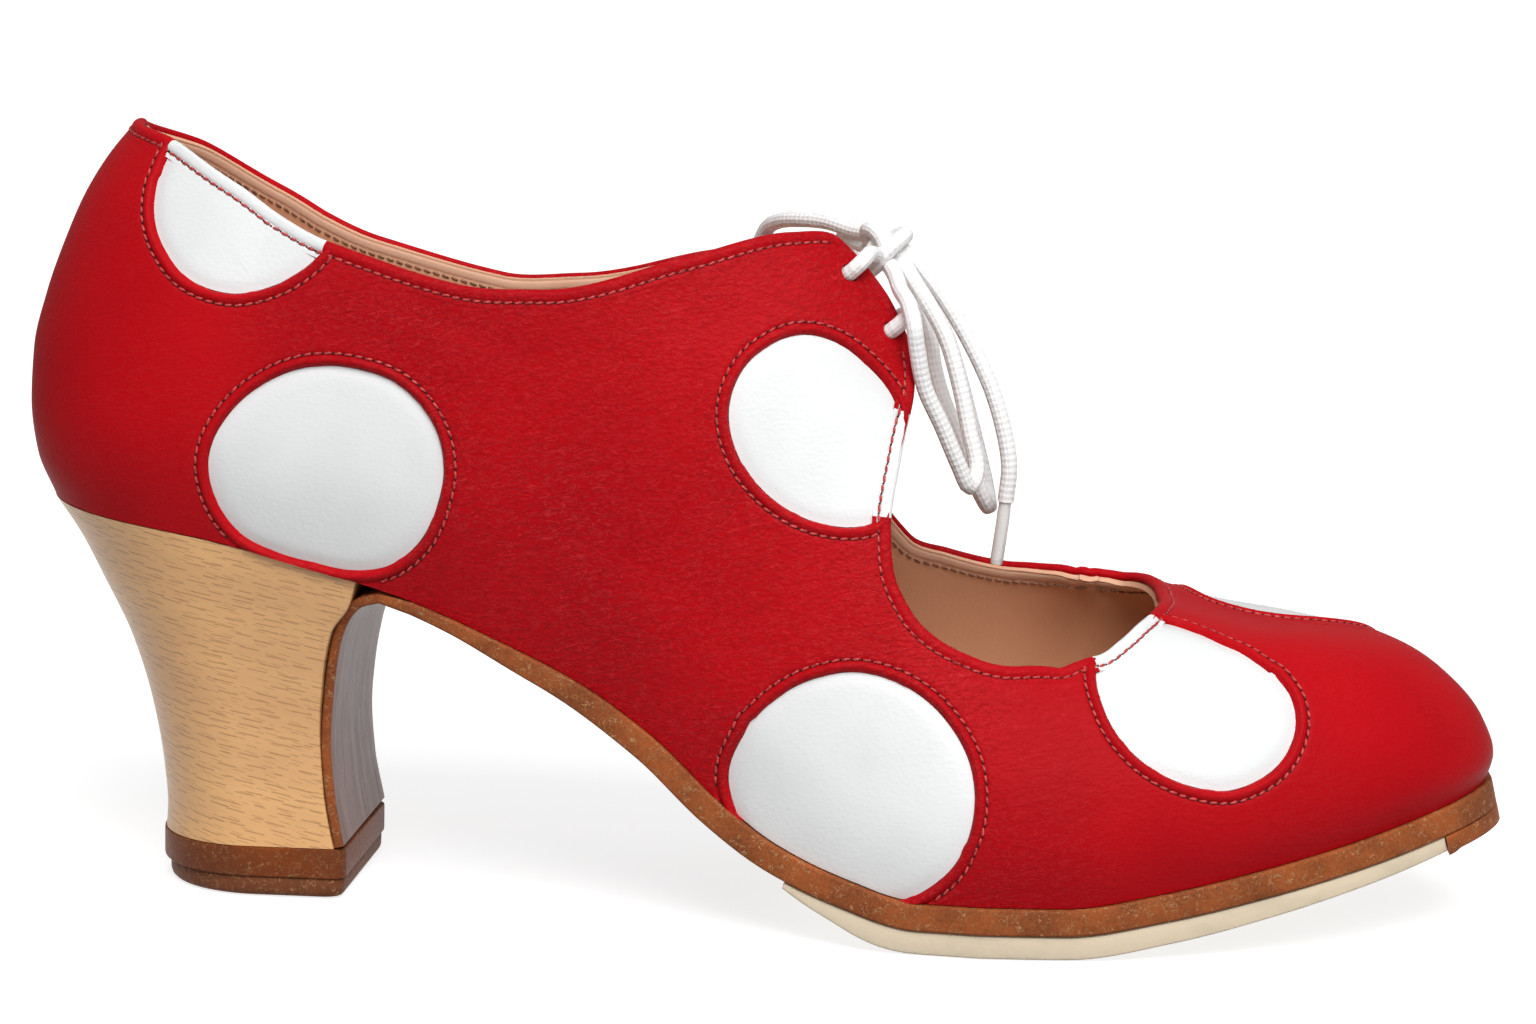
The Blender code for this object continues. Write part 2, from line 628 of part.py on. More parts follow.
def heel():
    """Wooden heel with its two layers of lift."""
    seat_station = np.linspace(0.0, 1.0, 9)
    seat_back = wall(seat_station, 0.0, MEDIAL)
    flank_x = np.linspace(SECTIONS[0].foot_x, 57.0, 4)[1:]
    seat_x = np.concatenate([seat_back[:, 0], flank_x])
    seat_y = np.concatenate([seat_back[:, 1], outline(flank_x, MEDIAL)])
    seat_z = sole_line(seat_x) - GAP
    base_z = LIFT_TOP + GAP
    rings = []
    for level in HEEL_LEVELS:
        x, y = heel_ring(level)
        rings.append(close_ring(x, y, base_z + level.share * (seat_z - base_z)))
    rings.append(close_ring(seat_x, seat_y, seat_z))
    loft("heel_block", rings, BEECH)
    lift = HEEL_LEVELS[0]._replace(back_x=21.7, front_x=54.4, half=19.1)
    x, y = heel_ring(lift)
    upper_ring = close_ring(x, y, np.full(len(x), LIFT_TOP))
    lower_ring = close_ring(x, y, np.full(len(x), TAP_TOP))
    loft("heel_lift", [lower_ring, upper_ring], BROWN_LEATHER)
    rings = []
    for inset, z in ((1.5, 0.0), (0.6, 0.7), (0.4, TAP_TOP - GAP)):
        back_x = lift.back_x + 0.6 + inset
        tap = lift._replace(back_x=back_x, front_x=lift.front_x - inset, half=lift.half - inset)
        x, y = heel_ring(tap)
        rings.append(close_ring(x, y, np.full(len(x), z)))
    loft("heel_tap", rings, BROWN_LEATHER)


def eyelet_spots(side):
    """Middle and outward direction of the two lace holes on one side."""
    station = np.array(EYELETS["station"])
    share = np.array(EYELETS["share"])
    if side == MEDIAL:
        share = share + rim_share(station, MEDIAL) - rim_share(station, LATERAL)
    return wall(station, share, side), wall_normal(station, share, side)


def bar_spots(side, row, lift):
    """Where a lace bar stands over its lace hole and over the edge beside it."""
    middle, out = eyelet_spots(side)
    station = EYELETS["station"][row]
    share = rim_share(station, side)
    edge = wall(station, share, side) + lift * wall_normal(station, share, side)
    return middle[row] + lift * out[row], edge


def eyelets(upper):
    """Punches the four lace holes square through the wall."""
    for side in (LATERAL, MEDIAL):
        for middle, out in zip(*eyelet_spots(side)):
            across = np.cross(out, (1.0, 0.0, 0.0))
            across /= np.linalg.norm(across)
            along = np.cross(out, across)
            rings = []
            for depth in (-6.0, 3.0):
                turns = [2 * math.pi * k / 13 for k in range(13)]
                ring = [EYELET_RADIUS * (math.cos(a) * across + math.sin(a) * along) for a in turns]
                rings.append([middle + depth * out + spoke for spoke in ring])
            cut(upper, loft("punch", rings, RED_LEATHER))


def rounded_route(route, spacing):
    """Even points along a smooth curve through hand-chosen route points."""
    route = np.asarray(route, float)
    legs = np.linalg.norm(np.diff(route, axis=0), axis=1)
    places = np.concatenate([[0.0], np.cumsum(legs)])
    count = max(4, int(round(places[-1] / spacing)) + 1)
    at = np.linspace(0.0, places[-1], count)
    return np.stack([smooth(places, route[:, axis], at) for axis in range(3)], -1)


def cord(name, route, radius, finish):
    """Round cord through the route points, with closed ends."""
    curve = bpy.data.curves.new(name, "CURVE")
    curve.dimensions = "3D"
    curve.bevel_depth = radius * MM
    curve.bevel_resolution = 1
    curve.use_fill_caps = True
    points = rounded_route(route, 4 * radius)
    spline = curve.splines.new("POLY")
    spline.points.add(len(points) - 1)
    for spot, point in zip(spline.points, points):
        spot.co = (*(float(c) * MM for c in point), 1.0)
    curve.materials.append(material(finish))
    made = bpy.data.objects.new(name, curve)
    bpy.context.scene.collection.objects.link(made)
    return made


def tube(name, route, radius, finish):
    """Round solid bar through the route points."""
    points = rounded_route(route, 4.0)
    run = np.gradient(points, axis=0)
    run /= np.linalg.norm(run, axis=1, keepdims=True)
    rings = []
    for point, along in zip(points, run):
        first = np.cross(along, (1.0, 0.0, 0.3))
        first /= np.linalg.norm(first)
        second = np.cross(along, first)
        turns = [2 * math.pi * k / 8 for k in range(8)]
        rings.append([point + radius * (math.cos(a) * first + math.sin(a) * second) for a in turns])
    return loft(name, rings, finish)


def laces():
    """Lace bars over the two pairs of lace holes, and the knot with its loops and ends."""
    lift = BAR_RADIUS + 0.85
    for row, (name, crown) in enumerate(BAR_CROWNS.items()):
        near, far = (bar_spots(side, row, lift) for side in (LATERAL, MEDIAL))
        tube(name, [near[0], near[1], crown, far[1], far[0]], BAR_RADIUS, WHITE_CORD)
    knot = []
    for k in range(6):
        tilt = math.pi * (k + 0.35) / 5.7
        ring = []
        for i in range(10):
            turn = 2 * math.pi * i / 10
            spoke = (math.sin(tilt) * math.cos(turn), math.sin(tilt) * math.sin(turn), -math.cos(tilt))
            ring.append([KNOT[a] + KNOT_HALF[a] * spoke[a] for a in range(3)])
        knot.append(ring)
    loft("lace_knot", knot, WHITE_CORD)
    cord("lace_loop_front", LOOP_FRONT, LACE_RADIUS, WHITE_CORD)
    cord("lace_loop_behind", LOOP_BEHIND, LACE_RADIUS, WHITE_CORD)
    cord("lace_end_front", END_FRONT, LACE_RADIUS, WHITE_CORD)
    cord("lace_tip_front", TIP_FRONT, AGLET_RADIUS, CLEAR_TIP)
    cord("lace_end_back", END_BACK, LACE_RADIUS, WHITE_CORD)
    cord("lace_tip_back", TIP_BACK, AGLET_RADIUS, CLEAR_TIP)


def stand_on_origin():
    """Moves every piece so that the shoe's box, laces left out, stands on the origin."""
    solids = [made for made in bpy.context.scene.objects if made.type == "MESH" and made.name != "lace_knot"]
    corners = np.concatenate([[vertex.co[:] for vertex in made.data.vertices] for made in solids])
    low = corners.min(axis=0)
    high = corners.max(axis=0)
    shift = np.array((0.5 * (low[0] + high[0]), 0.5 * (low[1] + high[1]), low[2]))
    for made in bpy.context.scene.objects:
        if made.type == "MESH":
            for vertex in made.data.vertices:
                vertex.co = np.array(vertex.co) - shift
        else:
            for spot in made.data.splines[0].points:
                spot.co = (*(np.array(spot.co[:3]) - shift), 1.0)


def main():
    """Builds the shoe."""
    for old in list(bpy.data.objects):
        bpy.data.objects.remove(old, do_unlink=True)
    upper = upper_shell()
    eyelets(upper)
    dots(upper)
    outsole()
    sole_layers()
    heel()
    laces()
    stand_on_origin()


main()
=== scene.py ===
"""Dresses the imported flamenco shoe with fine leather, inlays, seams, sole, heel and lace."""
import logging
import math
from dataclasses import dataclass, field
from enum import Enum
from typing import Any, NamedTuple

import bpy
import numpy as np
from mathutils import Matrix


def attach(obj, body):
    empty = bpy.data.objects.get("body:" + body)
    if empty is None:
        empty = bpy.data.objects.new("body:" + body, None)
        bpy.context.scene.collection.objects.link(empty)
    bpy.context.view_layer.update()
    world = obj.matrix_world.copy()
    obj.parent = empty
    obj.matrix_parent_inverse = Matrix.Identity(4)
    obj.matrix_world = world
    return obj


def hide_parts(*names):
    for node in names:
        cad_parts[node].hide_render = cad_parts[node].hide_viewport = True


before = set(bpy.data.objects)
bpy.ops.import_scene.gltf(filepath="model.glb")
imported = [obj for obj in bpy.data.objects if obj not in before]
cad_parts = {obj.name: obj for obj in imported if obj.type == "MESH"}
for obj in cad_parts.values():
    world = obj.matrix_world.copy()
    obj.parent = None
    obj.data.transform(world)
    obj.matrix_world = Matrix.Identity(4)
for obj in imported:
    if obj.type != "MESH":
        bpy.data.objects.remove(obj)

Array = np.ndarray
Colour = tuple[float, float, float]
MM = 0.001
SHIFT = np.array((118.52, -0.241, 0.0))
HEM_LIMIT = 0.985
RIM_LIMIT = 0.99
LOG = logging.getLogger("flamenco_shoe")
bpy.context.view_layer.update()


class Side(Enum):
    """The two sides of a right shoe; the value is the sign of Y."""

    LATERAL = -1
    MEDIAL = 1


class Shading(Enum):
    """Greatest angle, in degrees, that is shaded smooth on a kind of piece."""

    HEEL = 40.0
    SOLE = 45.0
    LEATHER = 50.0
    SOFT = 60.0
    THREAD = 80.0


class Section(NamedTuple):
    """One cross-section of the last, leaning from the sole line up to the ridge."""

    foot_x: float
    ridge_x: float
    ridge_y: float
    ridge_z: float
    lateral: float
    medial: float
    tuck: float
    bulge: float
    fullness: float


class Profile(NamedTuple):
    """One point of the back curve or of the vamp ridge."""

    share: float
    x: float
    z: float


class Rim(NamedTuple):
    """Height of the top edge at one place round the shoe."""

    place: float
    lateral: float
    medial: float


class Level(NamedTuple):
    """One level of the wooden heel."""

    share: float
    back_x: float
    front_x: float
    half: float


class Dot(NamedTuple):
    """One round inlay: its middle on the last, its half sizes and where its rays start.

    The reach is the edge's distance from the middle as a share of the half sizes, at sixteen even turns
    from the toe upward.
    """

    name: str
    station: float
    share: float
    wide: float
    tall: float
    inside_share: float
    medial_shift: tuple[float, float]
    reach: tuple[float, ...]
    medial_reach: tuple[float, ...] = ()


class SoftBox(NamedTuple):
    """One studio light: its place and size in metres and its power in watts."""

    name: str
    place: tuple[float, float, float]
    size: tuple[float, float]
    power: float


class Crease(NamedTuple):
    """One soft trough in the leather, from one place on the last to another, in millimetres."""

    start: tuple[float, float]
    end: tuple[float, float]
    width: float
    depth: float
    bow: float


SECTIONS = (
    Section(31.0, 50.0, 0.0, 138.0, 28.6, 28.6, 0.88, 0.20, 1.75),
    Section(52.0, 84.0, 0.5, 136.0, 29.3, 28.8, 0.87, 0.20, 2.00),
    Section(72.0, 112.0, 1.5, 127.0, 29.3, 28.0, 0.86, 0.22, 2.15),
    Section(88.0, 131.0, 2.5, 112.0, 30.3, 28.6, 0.86, 0.23, 2.15),
    Section(104.0, 146.0, 3.5, 92.0, 32.4, 30.2, 0.87, 0.24, 2.10),
    Section(120.0, 156.0, 5.0, 76.5, 36.2, 33.4, 0.90, 0.24, 2.05),
    Section(137.0, 164.0, 6.5, 65.0, 40.2, 36.6, 0.93, 0.22, 2.00),
    Section(155.0, 171.0, 7.0, 57.0, 41.8, 38.4, 0.95, 0.20, 1.90),
)
BACK_CURVE = (
    Profile(0.00, 4.0, 61.8), Profile(0.09, 1.1, 68.5), Profile(0.19, 0.1, 76.5),
    Profile(0.30, 0.5, 85.0), Profile(0.42, 2.5, 93.5), Profile(0.54, 5.7, 102.6),
    Profile(0.65, 9.4, 110.8), Profile(0.80, 18.4, 122.3), Profile(1.00, 50.0, 138.0),
)
VAMP_CURVE = (
    Profile(0.00, 234.6, 22.4), Profile(0.10, 235.6, 26.2), Profile(0.25, 233.6, 31.8),
    Profile(0.42, 228.4, 37.8), Profile(0.58, 220.2, 42.8), Profile(0.68, 209.0, 45.2),
    Profile(0.74, 197.0, 46.3), Profile(0.81, 182.5, 49.4), Profile(1.00, 171.0, 57.0),
)
SOLE_LINE_X = (-2, 4, 31, 52, 64, 80, 92, 104, 115, 124, 135, 146, 168, 182, 197, 212, 225, 240)
SOLE_LINE_Z = (63.6, 62.2, 58.4, 53.4, 49.9, 43.4, 37.8, 30.0, 20.6, 14.8, 10.6, 7.9, 7.9, 10.0, 13.2,
               16.8, 20.2, 23.8)
RIMS = (
    Rim(0.71, 0.793, 0.793), Rim(0.855, 0.757, 0.738), Rim(0.96, 0.675, 0.641),
    Rim(1.05, 0.588, 0.560), Rim(1.16, 0.551, 0.529), Rim(1.225, 0.586, 0.572),
    Rim(1.325, 0.742, 0.716), Rim(1.40, 0.888, 0.838), Rim(1.44, 0.940, 0.888),
    Rim(1.50, 0.947, 0.905), Rim(1.54, 0.936, 0.893), Rim(1.58, 0.893, 0.833),
    Rim(1.612, 0.793, 0.705), Rim(1.650, 0.683, 0.602), Rim(1.70, 0.613, 0.600),
    Rim(1.76, 0.592, 0.645), Rim(1.86, 0.620, 0.729), Rim(1.90, 0.6416, 0.771),
    Rim(1.94, 0.6696, 0.807), Rim(1.98, 0.694, 0.8425), Rim(2.01, 0.7084, 0.8610),
    Rim(2.05, 0.726, 0.8680), Rim(2.10, 0.742, 0.8680), Rim(2.16, 0.7544, 0.857),
    Rim(2.26, 0.7704, 0.832), Rim(2.40, 0.785, 0.808), Rim(3.00, 0.815, 0.815),
)
DOTS = (
    Dot("heel", 1.118, 0.163, 18.9, 18.2, 0.170, (0.0, 0.0),
        (0.90, 0.96, 1.01, 1.03, 1.00, 0.99, 0.98, 0.99, 1.01, 0.98, 0.925, 0.81, 0.755, 0.80, 0.86, 0.88)),
    Dot("collar", 0.905, 0.676, 16.6, 17.2, 0.560, (0.0, -0.03),
        (0.96, 0.96, 0.96, 0.96, 0.95, 0.94, 0.93, 0.92, 0.93, 0.96, 0.97, 1.00, 1.00, 0.97, 0.96, 0.96)),
    Dot("instep", 1.543, 0.708, 17.2, 15.0, 0.690, (-0.01, -0.05),
        (0.80, 0.74, 0.72, 0.73, 0.78, 0.81, 0.89, 0.96, 0.99, 1.03, 1.05, 1.02, 0.96, 0.91, 0.88, 0.87)),
    Dot("ball", 1.788, 0.192, 19.3, 18.9, 0.230, (0.0, 0.0),
        (1.00, 1.00, 1.00, 0.99, 0.99, 0.99, 0.965, 0.955, 0.97, 1.02, 0.98, 0.97, 0.96, 0.95, 0.94, 0.965)),
    Dot("vamp", 2.300, 0.625, 17.2, 16.6, 0.580, (0.20, -0.005),
        (0.73, 0.66, 0.67, 0.80, 0.95, 0.95, 0.95, 0.92, 0.895, 0.91, 0.94, 0.98, 1.03, 1.02, 0.965, 0.865),
        (0.97, 1.00, 1.08, 1.15, 1.16, 1.07, 1.01, *(1.0,) * 9)),
)
CREASES = (
    Crease((1.03, 0.47), (1.20, 0.36), 2.2, 0.16, 0.010),
    Crease((1.07, 0.51), (1.27, 0.43), 1.8, 0.14, 0.014),
    Crease((1.13, 0.50), (1.31, 0.49), 1.6, 0.12, -0.012),
    Crease((1.23, 0.46), (1.36, 0.55), 2.4, 0.15, 0.016),
    Crease((1.29, 0.60), (1.40, 0.73), 2.6, 0.17, 0.014),
    Crease((1.34, 0.60), (1.44, 0.77), 2.0, 0.13, 0.012),
    Crease((1.40, 0.80), (1.50, 0.83), 1.8, 0.15, -0.012),
    Crease((1.22, 0.24), (1.45, 0.40), 3.2, 0.14, 0.012),
    Crease((1.33, 0.22), (1.58, 0.33), 3.0, 0.12, -0.010),
    Crease((1.62, 0.44), (1.78, 0.50), 2.2, 0.12, 0.010),
    Crease((1.98, 0.42), (2.06, 0.60), 2.4, 0.16, 0.008),
    Crease((2.06, 0.20), (2.16, 0.36), 2.8, 0.12, 0.010),
)


def smooth(xs: Any, ys: Any, x: Any) -> Array:
    """Reads a table at x with a smooth curve that never swings past its own rows.

    Args:
        xs: Places of the rows, rising.
        ys: Values of the rows.
        x: Places to read.

    Returns:
        The values at x.
    """
    xs, ys, x = (np.asarray(a, float) for a in (xs, ys, x))
    step = np.diff(xs)
    rise = np.diff(ys) / step
    slope = np.empty_like(ys)
    slope[0], slope[-1] = rise[0], rise[-1]
    before, after = 2 * step[1:] + step[:-1], step[1:] + 2 * step[:-1]
    same_way = rise[:-1] * rise[1:] > 0
    low, high = np.where(same_way, rise[:-1], 1.0), np.where(same_way, rise[1:], 1.0)
    slope[1:-1] = np.where(same_way, (before + after) / (before / low + after / high), 0.0)
    row = np.clip(np.searchsorted(xs, x) - 1, 0, len(step) - 1)
    t = np.clip((x - xs[row]) / step[row], 0.0, 1.0)
    start = (1 + 2 * t) * (1 - t) ** 2 * ys[row] + t * (1 - t) ** 2 * step[row] * slope[row]
    end = t * t * (3 - 2 * t) * ys[row + 1] + t * t * (t - 1) * step[row] * slope[row + 1]
    return start + end


def unit(vectors: Array) -> Array:
    """Returns the vectors at length one."""
    return vectors / np.maximum(np.linalg.norm(vectors, axis=-1, keepdims=True), 1e-9)


def run_along(line: Array) -> Array:
    """Returns the distance run at each point of a polyline."""
    return np.concatenate([[0.0], np.cumsum(np.linalg.norm(np.diff(line, axis=0), axis=1))])


def curve_through(route: Any, spacing: float) -> Array:
    """Even points on a rounded curve through given points.

    Args:
        route: Points of the route in millimetres.
        spacing: Distance between the points that are returned.

    Returns:
        Points along the curve.
    """
    p = np.asarray(route, float)
    p = np.concatenate([[2 * p[0] - p[1]], p, [2 * p[-1] - p[-2]]])
    pieces = []
    for i in range(1, len(p) - 2):
        a, b, c, d = p[i - 1:i + 3]
        knots = np.cumsum([0.0] + [np.linalg.norm(v) ** 0.5 for v in (b - a, c - b, d - c)])
        t = np.linspace(knots[1], knots[2], 24, endpoint=i == len(p) - 3)[:, None]
        ab = a + (b - a) * (t - knots[0]) / (knots[1] - knots[0])
        bc = b + (c - b) * (t - knots[1]) / (knots[2] - knots[1])
        cd = c + (d - c) * (t - knots[2]) / (knots[3] - knots[2])
        abc = ab + (bc - ab) * (t - knots[0]) / (knots[2] - knots[0])
        bcd = bc + (cd - bc) * (t - knots[1]) / (knots[3] - knots[1])
        pieces.append(abc + (bcd - abc) * (t - knots[1]) / (knots[2] - knots[1]))
    return even(np.concatenate(pieces), spacing)


def even(line: Array, spacing: float) -> Array:
    """Points spaced evenly along a polyline of any dimension.

    Args:
        line: Points of the polyline.
        spacing: Wanted distance between points.

    Returns:
        The new points, the two ends kept.
    """
    run = run_along(line)
    count = max(4, int(round(run[-1] / spacing)) + 1)
    at = np.linspace(0.0, run[-1], count)
    return np.stack([np.interp(at, run, line[:, k]) for k in range(line.shape[1])], -1)


@dataclass(frozen=True)
class Last:
    """The form of the shoe: its outer face at a station round the foot and a share of the height."""

    toe_swing: float = 3.0
    heel_pace: float = 0.29
    lateral_toe_power: float = 1.04
    medial_toe_power: float = 0.92
    back_round: float = 0.09
    span: tuple[float, float] = (118.0, 76.0)

    def sole_line(self, x: Any) -> Array:
        """Returns the height of the line where the upper meets the sole."""
        return smooth(SOLE_LINE_X, SOLE_LINE_Z, x)

    def column(self, name: str, station: Array) -> Array:
        """Returns one column of the section table at stations 1 to 2."""
        rows = np.linspace(1.0, 2.0, len(SECTIONS))
        return smooth(rows, [getattr(section, name) for section in SECTIONS], np.clip(station, 1.0, 2.0))

    def section_point(self, station: Array, share: Array, side: Side) -> Array:
        """Side wall between the heel and the ball.

        Args:
            station: Stations round the foot.
            share: Shares of the height.
            side: Side of the shoe.

        Returns:
            The points in the last's millimetres.
        """
        foot_x = self.column("foot_x", station)
        foot_z = self.sole_line(foot_x)
        tuck, bulge, fullness = (self.column(n, station) for n in ("tuck", "bulge", "fullness"))
        low = tuck + (1 - tuck) * np.sin(0.5 * math.pi * np.clip(share / bulge, -0.5, 1.0))
        above = np.clip((share - bulge) / (1 - bulge), 0.0, 1.0)
        girth = np.where(share < bulge, low, (1 - above ** fullness) ** (1 / fullness))
        half = self.column(side.name.lower(), station) * girth
        x = foot_x + share * (self.column("ridge_x", station) - foot_x)
        y = share * self.column("ridge_y", station) + side.value * half
        z = foot_z + share * (self.column("ridge_z", station) - foot_z)
        return np.stack([x, y, z], -1)

    def fan_point(self, station: Array, share: Array, side: Side, toe: bool) -> Array:
        """Rounded heel or toe.

        Args:
            station: Stations round the foot.
            share: Shares of the height.
            side: Side of the shoe.
            toe: True for the toe, false for the heel.

        Returns:
            The points in the last's millimetres.
        """
        curve, corner = (VAMP_CURVE, 2.0) if toe else (BACK_CURVE, 1.0)
        power = 1.0
        if toe:
            power = self.lateral_toe_power if side is Side.LATERAL else self.medial_toe_power
        turn = 0.5 * math.pi * np.clip(np.abs(station - corner), 0.0, 1.0)
        end, flank = np.sin(turn) ** power, np.cos(turn) ** power
        at = np.full_like(share, corner)
        wall_side = self.section_point(at, share, side)
        shares = [row.share for row in curve]
        end_x = smooth(shares, [row.x for row in curve], share)
        end_z = smooth(shares, [row.z for row in curve], share)
        foot_x = self.column("foot_x", at)
        axis_x = foot_x + share * (self.column("ridge_x", at) - foot_x)
        axis_y = share * self.column("ridge_y", at)
        x = axis_x + (end_x - axis_x) * end
        swing = self.toe_swing if toe else 0.0
        y = axis_y + (wall_side[..., 1] - axis_y) * flank + swing * end * (1 - share)
        rise = (end_z - curve[0].z) * end ** 2 + (wall_side[..., 2] - self.sole_line(foot_x)) * (1 - end ** 2)
        z = self.sole_line(foot_x + (curve[0].x - foot_x) * end) + rise
        return np.stack([x, y, z], -1)

    def wall(self, station: Any, share: Any, side: Side) -> Array:
        """Plain outer face: station 0 heel back, 1 heel side, 2 ball side, 3 toe tip.

        Args:
            station: Stations round the foot.
            share: Shares of the height.
            side: Side of the shoe.

        Returns:
            The points in the last's millimetres.
        """
        station, share = np.broadcast_arrays(np.asarray(station, float), np.asarray(share, float))
        fore = np.where((station > 2.0)[..., None], self.fan_point(station, share, side, True),
                        self.section_point(station, share, side))
        return np.where((station < 1.0)[..., None], self.fan_point(station, share, side, False), fore)

    def at(self, uv: Array, side: Side) -> Array:
        """Returns points of the plain face at stations and shares in the last axis."""
        return self.wall(uv[..., 0], uv[..., 1], side)

    def out(self, uv: Array, side: Side) -> Array:
        """Returns outward directions at stations and shares in the last axis."""
        return self.normal(uv[..., 0], uv[..., 1], side)

    def rim(self, station: Any, side: Side) -> Array:
        """Height of the top edge.

        Args:
            station: Stations round the foot.
            side: Side of the shoe.

        Returns:
            The shares at which the top edge runs.
        """
        heights = [rim.lateral if side is Side.LATERAL else rim.medial for rim in RIMS]
        station = np.asarray(station, float)
        round_back = np.hypot(station, self.back_round * (1.0 - station))
        place = np.where(station < 1.0, 1.0 - self.heel_pace * (1.0 - round_back), station)
        return smooth([rim.place for rim in RIMS], heights, place)

    def normal(self, station: Array, share: Array, side: Side) -> Array:
        """Outward direction of the face.

        Args:
            station: Stations round the foot.
            share: Shares of the height.
            side: Side of the shoe.

        Returns:
            Directions at length one.
        """
        small = 1e-3
        low, high = np.clip(station - small, 1e-6, 3.0 - 1e-6), np.clip(station + small, 1e-6, 3.0 - 1e-6)
        along = self.wall(high, share, side) - self.wall(low, share, side)
        up = self.wall(station, share + small, side) - self.wall(station, share - small, side)
        return unit(np.cross(along, up) * -side.value)

    def relief(self, station: Array, share: Array) -> Array:
        """Depth of the soft creases; the span turns stations and shares into millimetres.

        Args:
            station: Stations round the foot.
            share: Shares of the height.

        Returns:
            Heights in millimetres, negative in a crease.
        """
        scale = np.array(self.span)
        spot = np.stack([station, share], -1) * scale
        depth = np.zeros(np.shape(station))
        for crease in CREASES:
            start, end = np.array(crease.start) * scale, np.array(crease.end) * scale
            run = end - start
            along = np.clip(np.sum((spot - start) * run, -1) / np.sum(run * run), 0.0, 1.0)
            bow = crease.bow * self.span[1] * np.sin(math.pi * along)
            off = spot - start - along[..., None] * run
            off[..., 1] -= bow
            gap = np.linalg.norm(off, axis=-1)
            fade = np.sin(math.pi * np.clip(along, 0.02, 0.98))
            depth -= crease.depth * fade * np.exp(-(gap / crease.width) ** 2)
        return depth

    def face(self, uv: Array, side: Side, height: Any = 0.0) -> Array:
        """Points over the face, with its creases.

        Args:
            uv: Stations and shares, in the last axis.
            side: Side of the shoe.
            height: Height above the leather in millimetres.

        Returns:
            The points in the last's millimetres.
        """
        station, share = uv[..., 0], uv[..., 1]
        lift = np.asarray(height) + self.relief(station, share)
        return self.wall(station, share, side) + lift[..., None] * self.normal(station, share, side)

    def settle(self, uv: Array, target: Array, side: Side, low: float, high: float) -> Array:
        """Finds the places on the face nearest to target points.

        Args:
            uv: First guesses of station and share.
            target: Points to come near to.
            side: Side of the shoe.
            low: Least share allowed.
            high: Greatest share allowed.

        Returns:
            Stations and shares.
        """
        small = 1e-4
        uv = np.array(uv)
        for _ in range(5):
            spot = self.at(uv, side)
            along = (self.wall(np.minimum(uv[..., 0] + small, 3.0), uv[..., 1], side)
                     - self.wall(np.maximum(uv[..., 0] - small, 0.0), uv[..., 1], side)) / (2 * small)
            up = (self.wall(uv[..., 0], uv[..., 1] + small, side) - spot) / small
            off = target - spot
            aa, ab, bb = (np.sum(p * q, -1) for p, q in ((along, along), (along, up), (up, up)))
            oa, ob = np.sum(off * along, -1), np.sum(off * up, -1)
            area = np.maximum(aa * bb - ab * ab, 1e-6)
            step_along = np.clip((oa * bb - ob * ab) / area, -0.08, 0.08)
            step_up = np.clip((ob * aa - oa * ab) / area, -0.08, 0.08)
            uv[..., 0] = np.clip(uv[..., 0] + step_along, 0.0, 3.0)
            uv[..., 1] = np.clip(uv[..., 1] + step_up, low, high)
        return uv

    def beside(self, path: Array, side: Side, away: Array, outward: Array, low: float, high: float) -> Array:
        """Walks square off a path on the face.

        Args:
            path: Stations and shares along the path.
            side: Side of the shoe.
            away: Distances from the path, one row of them or one for each path point.
            outward: Rough directions, one for each path point, that count as positive.
            low: Least share allowed.
            high: Greatest share allowed.

        Returns:
            Stations and shares, one row for each path point.
        """
        spot = self.at(path, side)
        out = self.out(path, side)
        across = unit(np.cross(unit(np.gradient(spot, axis=0)), out))
        across *= np.sign(np.sum(across * outward, -1, keepdims=True))
        away = np.broadcast_to(away, (len(path), np.shape(away)[-1]))
        target = spot[:, None, :] + away[..., None] * across[:, None, :]
        guess = np.repeat(path[:, None, :], away.shape[1], axis=1)
        return self.settle(guess, target, side, low, high)

    def rim_path(self, side: Side, spacing: float) -> Array:
        """Even places along the top edge, from heel to toe.

        Args:
            side: Side of the shoe.
            spacing: Distance between them in millimetres.

        Returns:
            Stations and shares.
        """
        station = np.linspace(0.0, 3.0, 3000)
        share = self.rim(station, side)
        spot = self.wall(station, share, side)
        run = run_along(spot)
        at = np.linspace(0.0, run[-1], int(run[-1] / spacing))
        station = np.interp(at, run, station)
        return np.stack([station, self.rim(station, side)], -1)

    def outline(self, x: Array, side: Side, margin: float = 0.0) -> Array:
        """Sideways reach of the sole line.

        Args:
            x: Places along the shoe.
            side: Side of the shoe.
            margin: Distance that the line is moved outward in plan.

        Returns:
            Y at each x.
        """
        edge = self.wall(np.linspace(0.0, 3.0, 901), 0.0, side)[:, :2]
        tangent = np.gradient(edge, axis=0)
        out = unit(np.stack([tangent[:, 1], -tangent[:, 0]], -1) * -side.value)
        edge = edge + margin * out
        return np.interp(x, edge[:, 0], edge[:, 1])

    def under_sole(self, x: Array, depth: Any) -> tuple[Array, Array]:
        """Points below the sole line, measured square to it.

        Args:
            x: Places along the shoe.
            depth: Depth below the line.

        Returns:
            X and z of the points.
        """
        slope = (self.sole_line(x + 0.05) - self.sole_line(x - 0.05)) / 0.1
        length = np.sqrt(1 + slope ** 2)
        return x + depth * slope / length, self.sole_line(x) - depth / length


LAST = Last()


